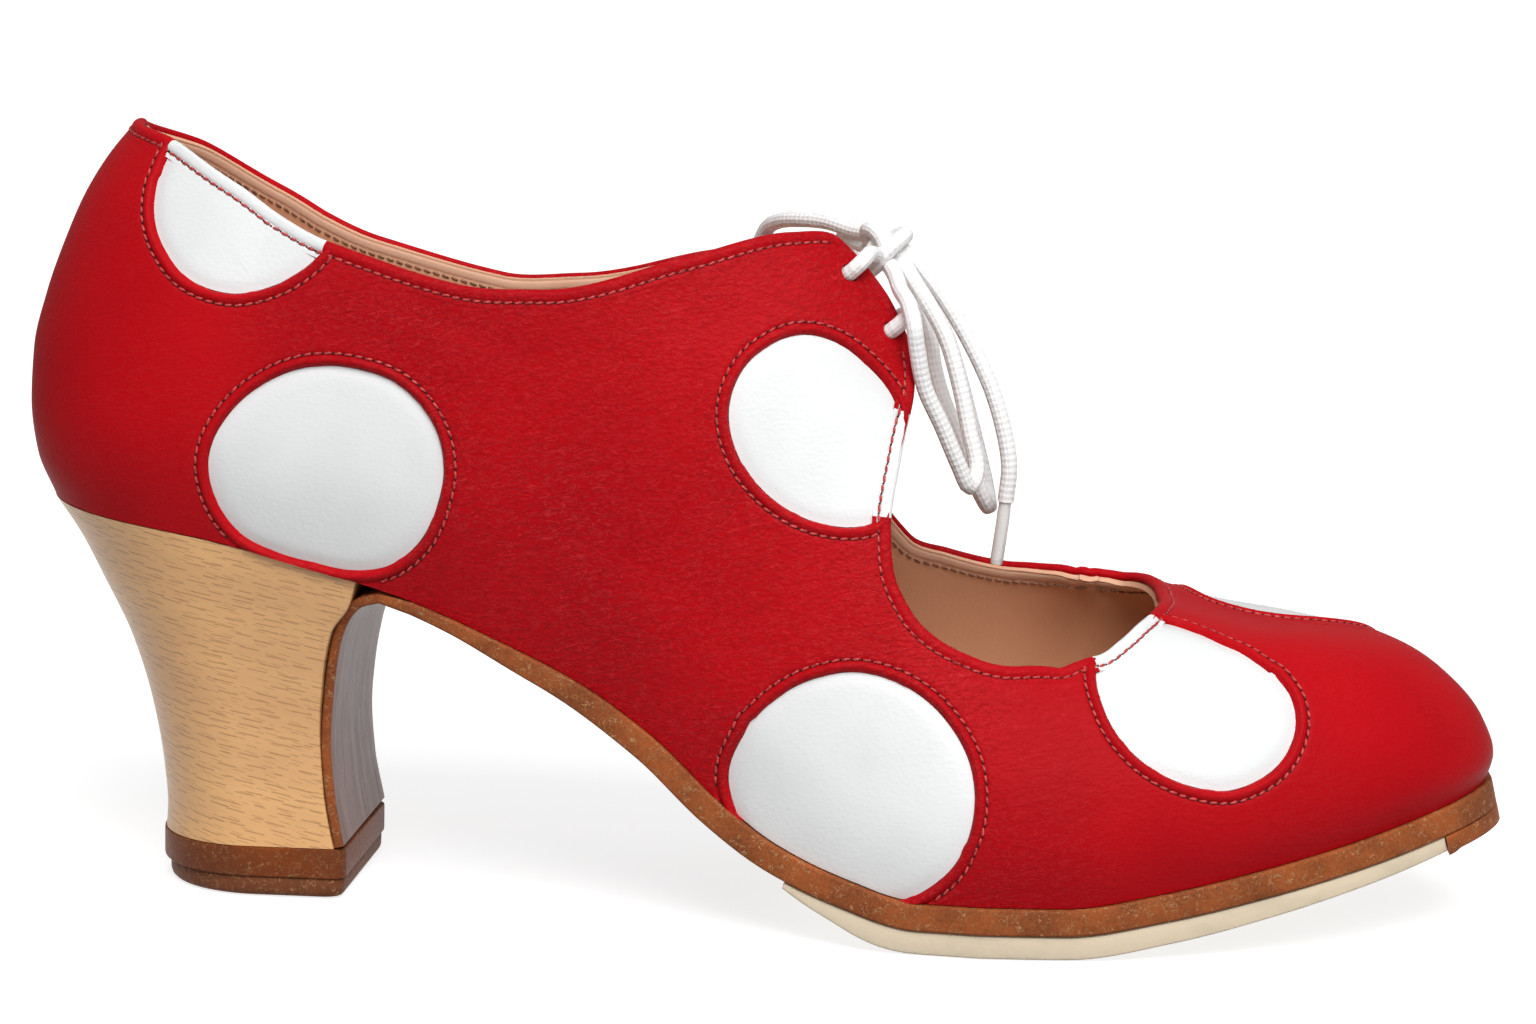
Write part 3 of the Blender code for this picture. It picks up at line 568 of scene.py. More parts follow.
@dataclass
class Inlay:
    """One dot on one side: where it lies on the last and how far a place is from its edge."""

    dot: Dot
    side: Side
    spokes: int = 168
    stride: float = 0.5
    share_mm: float = 70.0
    steps: int = 8

    def __post_init__(self) -> None:
        """Works out the middle and the level direction of the dot."""
        move = self.dot.medial_shift if self.side is Side.MEDIAL else (0.0, 0.0)
        self.start = (self.dot.station + move[0], self.dot.inside_share + move[1])
        place, self.share = self.dot.station + move[0], self.dot.share + move[1]
        self.middle = LAST.wall(place, self.share, self.side)
        self.level = unit(LAST.wall(place + 1e-3, self.share, self.side) - self.middle)
        own = self.side is Side.MEDIAL and self.dot.medial_reach
        reach = np.array(self.dot.medial_reach if own else self.dot.reach)
        count = self.steps * len(reach)
        self.turns = np.linspace(0.0, 2 * math.pi, count, endpoint=False)
        rows = np.arange(-2, len(reach) + 3)
        self.reach = smooth(rows, reach[rows % len(reach)], np.arange(count) / self.steps)

    @property
    def tag(self) -> str:
        """Name of the dot with its side."""
        return f"{self.dot.name}_{self.side.name.lower()}"

    @property
    def bound(self) -> bool:
        """True where the red top edge runs on over the dot."""
        return self.dot.name == "collar" and self.side is Side.MEDIAL

    def away(self, uv: Array) -> Array:
        """Distance from the dot's edge.

        Args:
            uv: Stations and shares.

        Returns:
            Millimetres outside the edge; less than nothing inside it.
        """
        off = LAST.at(uv, self.side) - self.middle
        across = np.sum(off * self.level, -1)
        upward = np.linalg.norm(off - across[..., None] * self.level, axis=-1) * np.sign(uv[..., 1] - self.share)
        turn = np.arctan2(upward / self.dot.tall, across / self.dot.wide)
        limit = np.interp(turn, self.turns, self.reach, period=2 * math.pi)
        reach = np.hypot(across / self.dot.wide, upward / self.dot.tall) / limit
        return np.hypot(across, upward) * (1 - 1 / np.maximum(reach, 1e-3))

    def rays(self, clip: bool) -> tuple[Array, Array]:
        """Walks from inside the dot to its edge.

        Args:
            clip: True to stop at the top edge and at the sole as well.

        Returns:
            Stations and shares where each ray stops, and true where it stops at the round edge.
        """
        turn = 2 * math.pi * np.arange(self.spokes) / self.spokes
        uv = np.repeat(np.array(self.start)[None, :], self.spokes, axis=0)
        small = 1e-3
        heading = None
        path, past, kinds = [], [], []
        for _ in range(int(2.3 * self.dot.wide / self.stride)):
            spot = LAST.at(uv, self.side)
            edge = self.away(uv)
            over = (uv[:, 1] - LAST.rim(uv[:, 0], self.side)) * self.share_mm
            under = -uv[:, 1] * self.share_mm
            limit = np.maximum(over, under) if clip else np.maximum(over, under) - 1.0
            path.append(uv.copy())
            past.append(np.maximum(edge, limit))
            kinds.append(edge >= limit)
            along = (LAST.wall(uv[:, 0] + small, uv[:, 1], self.side) - spot) / small
            up = (LAST.wall(uv[:, 0], uv[:, 1] + small, self.side) - spot) / small
            if heading is None:
                first = unit(along)
                second = unit(up - first * np.sum(up * first, -1, keepdims=True))
                heading = np.cos(turn)[:, None] * first + np.sin(turn)[:, None] * second
            aa, ab, bb = (np.sum(p * q, -1) for p, q in ((along, along), (along, up), (up, up)))
            ha, hb = np.sum(heading * along, -1), np.sum(heading * up, -1)
            area = aa * bb - ab * ab
            go = np.stack([(ha * bb - hb * ab) / area, (hb * aa - ha * ab) / area], -1)
            travel = go[:, :1] * along + go[:, 1:] * up
            length = np.linalg.norm(travel, axis=-1, keepdims=True)
            heading = travel / length
            uv = uv + go * self.stride / length
            uv[:, 0] = np.clip(uv[:, 0], 0.01, 2.99)
            uv[:, 1] = np.clip(uv[:, 1], -0.1, HEM_LIMIT)
        path, past, kinds = np.array(path), np.array(past), np.array(kinds)
        ends, round_edge = [], []
        for k in range(self.spokes):
            stop = int(np.argmax(past[:, k] > 0))
            share = past[stop, k] / (past[stop, k] - past[stop - 1, k])
            ends.append(path[stop, k] + (path[stop - 1, k] - path[stop, k]) * share)
            round_edge.append(kinds[stop, k])
        return np.array(ends), np.array(round_edge)

    def arc(self) -> tuple[Array, bool]:
        """Round edge of the dot.

        Returns:
            A path on the last, and true if it closes on itself.
        """
        ends, round_edge = self.rays(clip=False)
        if round_edge.all():
            return np.concatenate([ends, ends[:1]]), True
        first = next(k for k in range(self.spokes) if round_edge[k] and not round_edge[k - 1])
        order = [(first + k) % self.spokes for k in range(self.spokes)]
        kept = [k for k in order if round_edge[k]]
        return ends[kept], False


class Wire:
    """One value in a shader; arithmetic on it adds Math nodes."""

    def __init__(self, sheet: "NodeSheet", socket: bpy.types.NodeSocket) -> None:
        """Keeps the sheet and the socket."""
        self.sheet = sheet
        self.socket = socket

    def maths(self, operation: str, *values: Any) -> "Wire":
        """Returns the result of one Math node on these values."""
        return self.sheet.out("ShaderNodeMath", {"operation": operation}, dict(enumerate(values)))

    def __add__(self, other: Any) -> "Wire":
        """Sum."""
        return self.maths("ADD", self, other)

    def __radd__(self, other: Any) -> "Wire":
        """Sum."""
        return self.maths("ADD", other, self)

    def __sub__(self, other: Any) -> "Wire":
        """Difference."""
        return self.maths("SUBTRACT", self, other)

    def __rsub__(self, other: Any) -> "Wire":
        """Difference."""
        return self.maths("SUBTRACT", other, self)

    def __mul__(self, other: Any) -> "Wire":
        """Product."""
        return self.maths("MULTIPLY", self, other)

    def __rmul__(self, other: Any) -> "Wire":
        """Product."""
        return self.maths("MULTIPLY", other, self)

    def __abs__(self) -> "Wire":
        """Size without its sign."""
        return self.maths("ABSOLUTE", self)

    def sine(self) -> "Wire":
        """Sine of the value."""
        return self.maths("SINE", self)

    def ramp(self, low: float, high: float) -> "Wire":
        """Soft step from 0 to 1.

        Args:
            low: Value at 0; it may be the greater.
            high: Value at 1.

        Returns:
            The step.
        """
        settings = {"interpolation_type": "SMOOTHSTEP"}
        turned = low > high
        a, b = (high, low) if turned else (low, high)
        step = self.sheet.out("ShaderNodeMapRange", settings, {0: self, 1: a, 2: b, 3: 0.0, 4: 1.0})
        return 1.0 - step if turned else step


class NodeSheet:
    """The node tree of one material."""

    def __init__(self, made: bpy.types.Material) -> None:
        """Starts from the material's own shader."""
        made.use_nodes = True
        self.tree = made.node_tree
        self.shader = self.tree.nodes["Principled BSDF"]

    def add(self, kind: str, settings: dict[str, Any], inputs: dict[Any, Any]) -> bpy.types.Node:
        """Adds one node.

        Args:
            kind: Type of the node.
            settings: Its own settings, set before its sockets.
            inputs: Values or wires of its sockets, by name or place.

        Returns:
            The node.
        """
        node = self.tree.nodes.new(kind)
        for key, value in settings.items():
            setattr(node, key, value)
        self.feed(node, inputs)
        return node

    def feed(self, node: bpy.types.Node, inputs: dict[Any, Any]) -> None:
        """Sets or links the sockets of a node.

        Args:
            node: The node.
            inputs: Values or wires, by name or place.
        """
        for key, value in inputs.items():
            if isinstance(value, Wire):
                self.tree.links.new(value.socket, node.inputs[key])
            else:
                node.inputs[key].default_value = value

    def shade(self, **inputs: Any) -> None:
        """Sets or links sockets of the shader, named with _ for a space."""
        self.feed(self.shader, {key.replace("_", " "): value for key, value in inputs.items()})

    def out(self, kind: str, settings: dict[str, Any], inputs: dict[Any, Any], output: Any = 0) -> Wire:
        """Adds one node and returns one of its outputs."""
        return Wire(self, self.add(kind, settings, inputs).outputs[output])

    def spot(self, scale: tuple[float, float, float], turn: float = 0.0) -> Wire:
        """Object coordinates in millimetres.

        Args:
            scale: Factors along X, Y and Z, in cells for each millimetre.
            turn: Turn about Y in degrees, before the factors.

        Returns:
            The coordinates.
        """
        place = self.out("ShaderNodeTexCoord", {}, {}, "Object")
        if turn:
            place = self.out("ShaderNodeVectorRotate", {"rotation_type": "Y_AXIS"},
                             {"Vector": place, "Angle": math.radians(turn)})
        return self.out("ShaderNodeVectorMath", {"operation": "MULTIPLY"},
                        {0: place, 1: tuple(1000.0 * s for s in scale)})

    def parts(self, vector: Wire) -> tuple[Wire, Wire, Wire]:
        """Returns the three parts of a vector."""
        node = self.add("ShaderNodeSeparateXYZ", {}, {0: vector})
        return tuple(Wire(self, node.outputs[k]) for k in range(3))

    def noise(self, scale: Any, detail: float, roughness: float, distortion: float = 0.0, turn: float = 0.0) -> Wire:
        """Returns cloudy noise from 0 to 1 on the object's coordinates; one scale may stand for all three."""
        scale = scale if isinstance(scale, tuple) else (scale,) * 3
        return self.out("ShaderNodeTexNoise", {}, {
            "Vector": self.spot(scale, turn), "Scale": 1.0, "Detail": detail, "Roughness": roughness,
            "Distortion": distortion})

    def cells(self, vector: Wire, feature: str = "F1", output: str = "Distance") -> Wire:
        """Returns a Voronoi output."""
        return self.out("ShaderNodeTexVoronoi", {"feature": feature}, {"Vector": vector, "Scale": 1.0}, output)

    def mix(self, share: Any, low: Any, high: Any) -> Wire:
        """Returns a colour between two colours."""
        low, high = ((*c, 1.0) if isinstance(c, tuple) else c for c in (low, high))
        return self.out("ShaderNodeMix", {"data_type": "RGBA"}, {0: share, 6: low, 7: high}, 2)

    def bump(self, height: Wire, depth: float) -> Wire:
        """Returns a normal from a height; depth is in millimetres."""
        return self.out("ShaderNodeBump", {}, {"Height": height, "Distance": depth * MM, "Strength": 1.0})


@dataclass(frozen=True)
class Finish:
    """One finish: its record slot and what holds all over it."""

    name: str
    slot: str
    colour: Colour
    roughness: float
    specular: float = 0.5

    def material(self) -> bpy.types.Material:
        """Makes the finish once.

        Returns:
            The material.
        """
        made = bpy.data.materials.get(self.name)
        if made is None:
            made = bpy.data.materials.new(self.name)
            sheet = NodeSheet(made)
            sheet.shade(Base_Color=(*self.colour, 1.0), Roughness=self.roughness,
                        Specular_IOR_Level=self.specular)
            self.paint(sheet)
        return made

    def paint(self, sheet: NodeSheet) -> None:
        """Adds what changes over the surface.

        Args:
            sheet: Node sheet of the material.
        """


@dataclass(frozen=True)
class GrainedLeather(Finish):
    """Smooth dyed leather with a fine grain that is drawn out over the quarters."""

    deep: Colour = (0.34, 0.002, 0.006)
    # Paler red of the painted highlight along the drawn wrinkle lines.
    pale: Colour = (0.62, 0.040, 0.046)
    grain: float = 0.105

    def paint(self, sheet: NodeSheet) -> None:
        """Adds grain, drawn wrinkles with a painted highlight along them, and a slow change of colour and gloss.

        Args:
            sheet: Node sheet of the material.
        """
        x, _, _ = sheet.parts(sheet.spot((1.0, 1.0, 1.0)))
        quarters = x.ramp(-88.0, -55.0) * x.ramp(66.0, 20.0)
        pebble = sheet.cells(sheet.spot((1.15, 1.5, 1.9)), "SMOOTH_F1")
        fine = sheet.noise((2.2, 2.6, 3.4), 2.0, 0.6)
        warped = sheet.noise((0.42, 0.7, 1.15), 3.0, 0.62, 1.1, turn=14.0)
        vein_and_glint = abs(warped - 0.5).ramp(0.050, 0.004)
        patch = sheet.noise(0.055, 1.0, 0.5)
        drawn = (0.25 + 0.75 * quarters) * (0.45 + 0.55 * patch.ramp(0.34, 0.62))
        height = pebble * (0.55 + 0.45 * quarters) + 0.35 * fine + 0.55 * vein_and_glint * drawn
        cloud = sheet.noise(0.03, 2.0, 0.5)
        pore = pebble.ramp(0.30, 0.75)
        colour = sheet.mix(cloud.ramp(0.30, 0.72) * 0.55 + 0.35 * pore * quarters, self.colour, self.deep)
        # Painted highlight: the drawn wrinkle lines are mixed toward the paler red, standing for glints along the
        # wrinkles.
        colour = sheet.mix(vein_and_glint * drawn * 0.40, colour, self.pale)
        rough = self.roughness + 0.07 * (cloud - 0.5) + 0.05 * pore * quarters - 0.08 * drawn
        sheet.shade(Base_Color=colour, Roughness=rough, Normal=sheet.bump(height, self.grain))


@dataclass(frozen=True)
class PlainLeather(Finish):
    """Thin leather with a faint grain."""

    deep: Colour = (0.74, 0.75, 0.75)
    grain: float = 0.03
    cell: float = 1.3

    def paint(self, sheet: NodeSheet) -> None:
        """Adds a faint grain and cloud.

        Args:
            sheet: Node sheet of the material.
        """
        pebble = sheet.cells(sheet.spot((self.cell, self.cell * 1.2, self.cell * 1.4)), "SMOOTH_F1")
        fine = sheet.noise(3.0, 2.0, 0.6)
        cloud = sheet.noise(0.06, 2.0, 0.5)
        colour = sheet.mix(cloud.ramp(0.35, 0.8) * 0.7, self.colour, self.deep)
        sheet.shade(Base_Color=colour, Roughness=self.roughness + 0.08 * (cloud - 0.5),
                    Normal=sheet.bump(pebble + 0.5 * fine, self.grain))


@dataclass(frozen=True)
class LiningLeather(Finish):
    """Bare lining leather, paler in the band along the top edge."""

    pale: Colour = (0.78, 0.46, 0.30)
    deep: Colour = (0.58, 0.26, 0.135)

    def paint(self, sheet: NodeSheet) -> None:
        """Adds the pale band, stains and a soft nap.

        Args:
            sheet: Node sheet of the material.
        """
        below = sheet.out("ShaderNodeAttribute", {"attribute_name": "below_rim"}, {}, "Fac")
        cloud = sheet.noise(0.05, 3.0, 0.55)
        nap = sheet.noise(1.6, 3.0, 0.6)
        body = sheet.mix(cloud.ramp(0.35, 0.75) * 0.6, self.colour, self.deep)
        colour = sheet.mix(below.ramp(3.3, 2.4) * 0.8, body, self.pale)
        sheet.shade(Base_Color=colour, Normal=sheet.bump(nap, 0.05))


@dataclass(frozen=True)
class LeatherEdge(Finish):
    """Cut and stained edge of sole leather, with pale fibres."""

    fibre: Colour = (0.52, 0.27, 0.12)
    deep: Colour = (0.13, 0.040, 0.016)
    fibres: float = 0.8

    def paint(self, sheet: NodeSheet) -> None:
        """Adds curly pale fibres, dark pores and clouds of stain.

        Args:
            sheet: Node sheet of the material.
        """
        cloud = sheet.noise((0.10, 0.10, 0.16), 3.0, 0.6)
        curl = sheet.noise((0.85, 0.85, 1.1), 2.0, 0.55, 0.7)
        line = abs(curl - 0.5).ramp(0.035, 0.008)
        where = sheet.noise(0.7, 1.0, 0.5).ramp(0.46, 0.60)
        speck = sheet.noise(2.2, 2.0, 0.7)
        base = sheet.mix(cloud.ramp(0.32, 0.70) * 0.55 + 0.30 * speck.ramp(0.48, 0.66), self.colour, self.deep)
        colour = sheet.mix(line * where * self.fibres + 0.22 * speck.ramp(0.42, 0.28), base, self.fibre)
        height = speck + 0.8 * line * where
        sheet.shade(Base_Color=colour, Roughness=self.roughness + 0.2 * (speck - 0.5),
                    Normal=sheet.bump(height, 0.07))


@dataclass(frozen=True)
class PolishedLeather(Finish):
    """Smooth dark leather of the breast and the underside, rubbed to a shine."""

    deep: Colour = (0.150, 0.062, 0.048)
    scuff: Colour = (0.34, 0.22, 0.18)

    def paint(self, sheet: NodeSheet) -> None:
        """Adds streaks, scuffs and a smooth coat.

        Args:
            sheet: Node sheet of the material.
        """
        streak = sheet.noise((0.10, 0.9, 0.07), 3.0, 0.6)
        scratch = sheet.noise((0.25, 1.6, 0.18), 3.0, 0.65, 0.4, turn=22.0)
        mark = abs(scratch - 0.5).ramp(0.016, 0.002)
        colour = sheet.mix(streak.ramp(0.30, 0.70), self.colour, self.deep)
        colour = sheet.mix(mark * 0.35, colour, self.scuff)
        rough = self.roughness + 0.25 * (streak - 0.45) + 0.2 * mark
        sheet.shade(Base_Color=colour, Roughness=rough,
                    Normal=sheet.bump(streak + 0.3 * mark, 0.05), Coat_Weight=0.12,
                    Coat_Roughness=0.3)


@dataclass(frozen=True)
class FleckedBeech(Finish):
    """Turned beech with short dark flecks along the grain."""

    deep: Colour = (0.68, 0.355, 0.150)
    fleck: Colour = (0.36, 0.150, 0.050)
    lean: float = -11.0

    def paint(self, sheet: NodeSheet) -> None:
        """Adds slow bands, fine fibres and the flecks.

        Args:
            sheet: Node sheet of the material.
        """
        band = sheet.noise((0.020, 0.05, 0.16), 3.0, 0.55, 0.3, turn=self.lean)
        fibre = sheet.noise((0.16, 0.5, 3.2), 3.0, 0.6, turn=self.lean)
        colour = sheet.mix(band.ramp(0.30, 0.72) * 0.55 + 0.30 * fibre.ramp(0.40, 0.70), self.colour, self.deep)
        for scale, half, thin, strength, lean in (((0.19, 0.22, 0.66), 0.36, 0.10, 0.60, self.lean),
                                                  ((0.27, 0.30, 0.95), 0.30, 0.10, 0.45, self.lean - 4.0)):
            place = sheet.spot(scale, lean)
            wave = sheet.noise(0.3, 1.0, 0.5)
            heart = sheet.cells(place, "F1", "Position")
            off = sheet.out("ShaderNodeVectorMath", {"operation": "SUBTRACT"}, {0: place, 1: heart})
            along, _, up = sheet.parts(off)
            bent = up + 0.12 * (wave - 0.5)
            dash = abs(along).ramp(half, half * 0.72) * abs(bent).ramp(thin, thin * 0.35)
            colour = sheet.mix(dash * strength, colour, self.fleck)
        rough = self.roughness + 0.14 * (fibre - 0.5)
        sheet.shade(Base_Color=colour, Roughness=rough, Normal=sheet.bump(fibre, 0.025),
                    Coat_Weight=0.25, Coat_Roughness=0.25)


@dataclass(frozen=True)
class PaleRubber(Finish):
    """Cream rubber with a dull skin, small pits and grey rub marks."""

    rubbed: Colour = (0.58, 0.50, 0.36)

    def paint(self, sheet: NodeSheet) -> None:
        """Adds pits, rub marks and a dull skin.

        Args:
            sheet: Node sheet of the material.
        """
        cloud = sheet.noise((0.12, 0.12, 0.2), 3.0, 0.6)
        pit = sheet.noise(1.1, 2.0, 0.6)
        _, _, z = sheet.parts(sheet.spot((1.0, 1.0, 1.0)))
        worn = z.ramp(0.9, 0.1) * 0.5
        colour = sheet.mix(cloud.ramp(0.42, 0.75) * 0.5 + worn * pit.ramp(0.4, 0.6), self.colour, self.rubbed)
        sheet.shade(Base_Color=colour, Normal=sheet.bump(pit, 0.06))


@dataclass(frozen=True)
class BraidedCord(Finish):
    """Round braided cord; the strands follow the piece's own UV, in millimetres and turns."""

    shade: Colour = (0.84, 0.835, 0.84)
    pitch: float = 2.0
    strands: int = 6

    def paint(self, sheet: NodeSheet) -> None:
        """Adds the crossing strands and their hairs.

        Args:
            sheet: Node sheet of the material.
        """
        uv = sheet.out("ShaderNodeTexCoord", {}, {}, "UV")
        along, turn, _ = sheet.parts(uv)
        lean = along * (2 * math.pi / self.pitch)
        round_it = turn * (2 * math.pi * self.strands)
        weave = (lean + round_it).sine() * (lean - round_it).sine()
        yarn = (along * 11.0 + turn * 60.0).sine() * 0.5 + (along * 11.0 - turn * 60.0).sine() * 0.5
        hair = sheet.noise(2.0, 2.0, 0.6)
        height = weave * 0.6 + yarn * 0.12 + hair * 0.25
        colour = sheet.mix(weave.ramp(0.15, -0.8) * 0.5, self.colour, self.shade)
        sheet.shade(Base_Color=colour, Normal=sheet.bump(height, 0.08))


@dataclass(frozen=True)
class TwistedThread(Finish):
    """Sewing thread with a light sheen on top of each stitch."""

    deep: Colour = (0.22, 0.004, 0.008)

    def paint(self, sheet: NodeSheet) -> None:
        """Adds fine twist.

        Args:
            sheet: Node sheet of the material.
        """
        twist = sheet.noise(3.0, 2.0, 0.6)
        colour = sheet.mix(twist.ramp(0.35, 0.70), self.colour, self.deep)
        sheet.shade(Base_Color=colour, Normal=sheet.bump(twist, 0.05))


@dataclass(frozen=True)
class ClearTip(Finish):
    """Milky plastic sleeve of the lace ends."""

    def paint(self, sheet: NodeSheet) -> None:
        """Adds faint crimp marks.

        Args:
            sheet: Node sheet of the material.
        """
        mark = sheet.noise((0.5, 0.5, 1.6), 2.0, 0.6)
        sheet.shade(Normal=sheet.bump(mark, 0.04), Transmission_Weight=0.25,
                    Coat_Weight=0.4, Roughness=self.roughness + 0.15 * (mark - 0.5))


RED = GrainedLeather("red_leather_grain", "red_leather", (0.50, 0.0035, 0.008), 0.49, 0.05)
WHITE = PlainLeather("white_leather_grain", "white_leather", (0.82, 0.83, 0.83), 0.42)
LINING = LiningLeather("lining_leather", "tan_leather", (0.73, 0.37, 0.21), 0.62, 0.3)
LINING_EDGE = PlainLeather("lining_edge", "tan_leather", (0.80, 0.50, 0.35), 0.55, 0.3,
                           deep=(0.70, 0.40, 0.26), cell=0.9)
INSOLE = PlainLeather("insole_leather", "tan_leather", (0.52, 0.31, 0.19), 0.55, deep=(0.40, 0.21, 0.12), cell=0.9)
EDGE = LeatherEdge("leather_edge", "brown_leather", (0.38, 0.100, 0.028), 0.55, 0.08)
LIFT_EDGE = LeatherEdge("lift_edge", "brown_leather", (0.23, 0.052, 0.012), 0.42, 0.10, fibres=0.45)
TAP_EDGE = LeatherEdge("tap_edge", "brown_leather", (0.20, 0.060, 0.022), 0.55, 0.15, fibres=0.7)
POLISH = PolishedLeather("polished_leather", "brown_leather", (0.230, 0.105, 0.080), 0.42, 0.42)
BEECH = FleckedBeech("flecked_beech", "beech", (0.80, 0.445, 0.178), 0.42)
RUBBER = PaleRubber("pale_rubber", "cream_rubber", (0.76, 0.63, 0.46), 0.62, 0.3)
CORD = BraidedCord("braided_cord", "white_cord", (0.97, 0.965, 0.96), 0.75, 0.2)
TIP = ClearTip("lace_tip", "clear_tip", (0.95, 0.94, 0.92), 0.25)
RED_THREAD = TwistedThread("red_thread", "red_leather", (0.64, 0.065, 0.060), 0.45)
TAN_THREAD = TwistedThread("tan_thread", "tan_leather", (0.30, 0.15, 0.085), 0.6, deep=(0.16, 0.075, 0.04))
# Near-black colour of the dots at the stitch holes: painted shade in the holes.
HOLE_SHADE = TwistedThread("needle_hole", "red_leather", (0.045, 0.001, 0.003), 0.9, deep=(0.02, 0.001, 0.002))


class Bench:
    """Makes mesh pieces with the modelling operators, in the last's millimetres."""

    @staticmethod
    def clear() -> None:
        """Deselects everything."""
        bpy.ops.object.select_all(action="DESELECT")

    @staticmethod
    def pick(piece: bpy.types.Object) -> None:
        """Selects one piece alone and makes it the active one.

        Args:
            piece: The piece.
        """
        Bench.clear()
        piece.select_set(True)
        bpy.context.view_layer.objects.active = piece

    @staticmethod
    def lay(name: str, points: Array) -> bpy.types.Object:
        """Adds a grid primitive and lays its points on a form.

        Args:
            name: Name of the piece.
            points: Rows of points in the last's millimetres.

        Returns:
            The piece, still open at its edges.
        """
        Bench.clear()
        rows, columns = points.shape[:2]
        bpy.ops.mesh.primitive_grid_add(x_subdivisions=columns - 1, y_subdivisions=rows - 1, size=1.0)
        piece = bpy.context.active_object
        piece.name = piece.data.name = name
        flat = ((points.reshape(-1, 3) - SHIFT) * MM).astype(np.float32)
        if len(flat) != len(piece.data.vertices):
            raise ValueError(f"{name}: {len(flat)} points for {len(piece.data.vertices)} vertices")
        piece.data.vertices.foreach_set("co", flat.ravel())
        piece.data.update()
        return piece

    @staticmethod
    def join_up(piece: bpy.types.Object, fill: bool) -> None:
        """Merges the seams of a laid grid and turns its faces out.

        Args:
            piece: The piece.
            fill: True to close its ends.
        """
        Bench.pick(piece)
        bpy.ops.object.mode_set(mode="EDIT")
        bpy.ops.mesh.select_all(action="SELECT")
        bpy.ops.mesh.remove_doubles(threshold=1e-6)
        if fill:
            bpy.ops.mesh.select_all(action="SELECT")
            bpy.ops.mesh.fill_holes(sides=0)
        bpy.ops.mesh.select_all(action="SELECT")
        bpy.ops.mesh.normals_make_consistent(inside=False)
        bpy.ops.object.mode_set(mode="OBJECT")

    @staticmethod
    def drop_faces(piece: bpy.types.Object, gone: Array) -> None:
        """Deletes faces.

        Args:
            piece: The piece.
            gone: Flags of the faces to delete.
        """
        Bench.pick(piece)
        bpy.ops.object.mode_set(mode="EDIT")
        bpy.ops.mesh.select_mode(type="FACE")
        bpy.ops.mesh.select_all(action="DESELECT")
        bpy.ops.object.mode_set(mode="OBJECT")
        piece.data.polygons.foreach_set("select", gone)
        bpy.ops.object.mode_set(mode="EDIT")
        bpy.ops.mesh.delete(type="FACE")
        bpy.ops.mesh.select_mode(type="VERT")
        bpy.ops.object.mode_set(mode="OBJECT")

    @staticmethod
    def modify(piece: bpy.types.Object, kind: str, **settings: Any) -> None:
        """Adds a modifier and applies it.

        Args:
            piece: The piece.
            kind: Type of the modifier.
            settings: Its settings.
        """
        Bench.pick(piece)
        modifier = piece.modifiers.new(kind.lower(), kind)
        for key, value in settings.items():
            setattr(modifier, key, value)
        bpy.ops.object.modifier_apply(modifier=modifier.name)

    @staticmethod
    def finish(piece: bpy.types.Object, finish: Finish, shading: Shading, *nodes: str) -> bpy.types.Object:
        """Dresses a piece, smooths it and sets it on the shoe's body.

        Args:
            piece: The piece.
            finish: Its finish.
            shading: How far it is shaded smooth.
            nodes: CAD nodes that it stands for.

        Returns:
            The piece.
        """
        Bench.pick(piece)
        if not piece.data.materials:
            piece.data.materials.append(finish.material())
        bpy.ops.object.shade_smooth_by_angle(angle=math.radians(shading.value))
        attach(piece, "root")
        if nodes:
            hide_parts(*nodes)
        LOG.info("%s: %d faces", piece.name, len(piece.data.polygons))
        return piece

    @staticmethod
    def sweep(name: str, rows: Array, closed: bool) -> bpy.types.Object:
        """Makes a closed solid from profile rows.

        Args:
            name: Name of the piece.
            rows: Profile points, one row for each place along the path.
            closed: True if the path closes on itself.

        Returns:
            The piece.
        """
        rows = np.concatenate([rows, rows[:, :1]], axis=1)
        if closed:
            rows = np.concatenate([rows, rows[:1]], axis=0)
        piece = Bench.lay(name, rows)
        Bench.join_up(piece, fill=not closed)
        return piece

    @staticmethod
    def weld(name: str, pieces: list[bpy.types.Object]) -> bpy.types.Object:
        """Joins pieces into one.

        Args:
            name: Name of the joined piece.
            pieces: The pieces.

        Returns:
            The joined piece.
        """
        Bench.clear()
        for piece in pieces:
            piece.select_set(True)
        bpy.context.view_layer.objects.active = pieces[0]
        if len(pieces) > 1:
            bpy.ops.object.join()
        pieces[0].name = pieces[0].data.name = name
        return pieces[0]

    @staticmethod
    def take_shape() -> tuple[Array, list]:
        """Takes the active model away.

        Returns:
            Its points and its faces.
        """
        model = bpy.context.active_object
        points = np.array([v.co[:] for v in model.data.vertices])
        faces = [tuple(p.vertices) for p in model.data.polygons]
        bpy.data.objects.remove(model, do_unlink=True)
        return points, faces

    @staticmethod
    def copies(name: str, points: Array, faces: list) -> bpy.types.Object:
        """Makes one piece of many copies of a shape.

        Args:
            name: Name of the piece.
            points: Points of each copy in the last's millimetres.
            faces: Faces of the shape.

        Returns:
            The piece.
        """
        size = points.shape[1]
        all_faces = [tuple(k * size + i for i in face) for k in range(len(points)) for face in faces]
        mesh = bpy.data.meshes.new(name)
        mesh.from_pydata(((points.reshape(-1, 3) - SHIFT) * MM).tolist(), [], all_faces)
        piece = bpy.data.objects.new(name, mesh)
        bpy.context.scene.collection.objects.link(piece)
        return piece


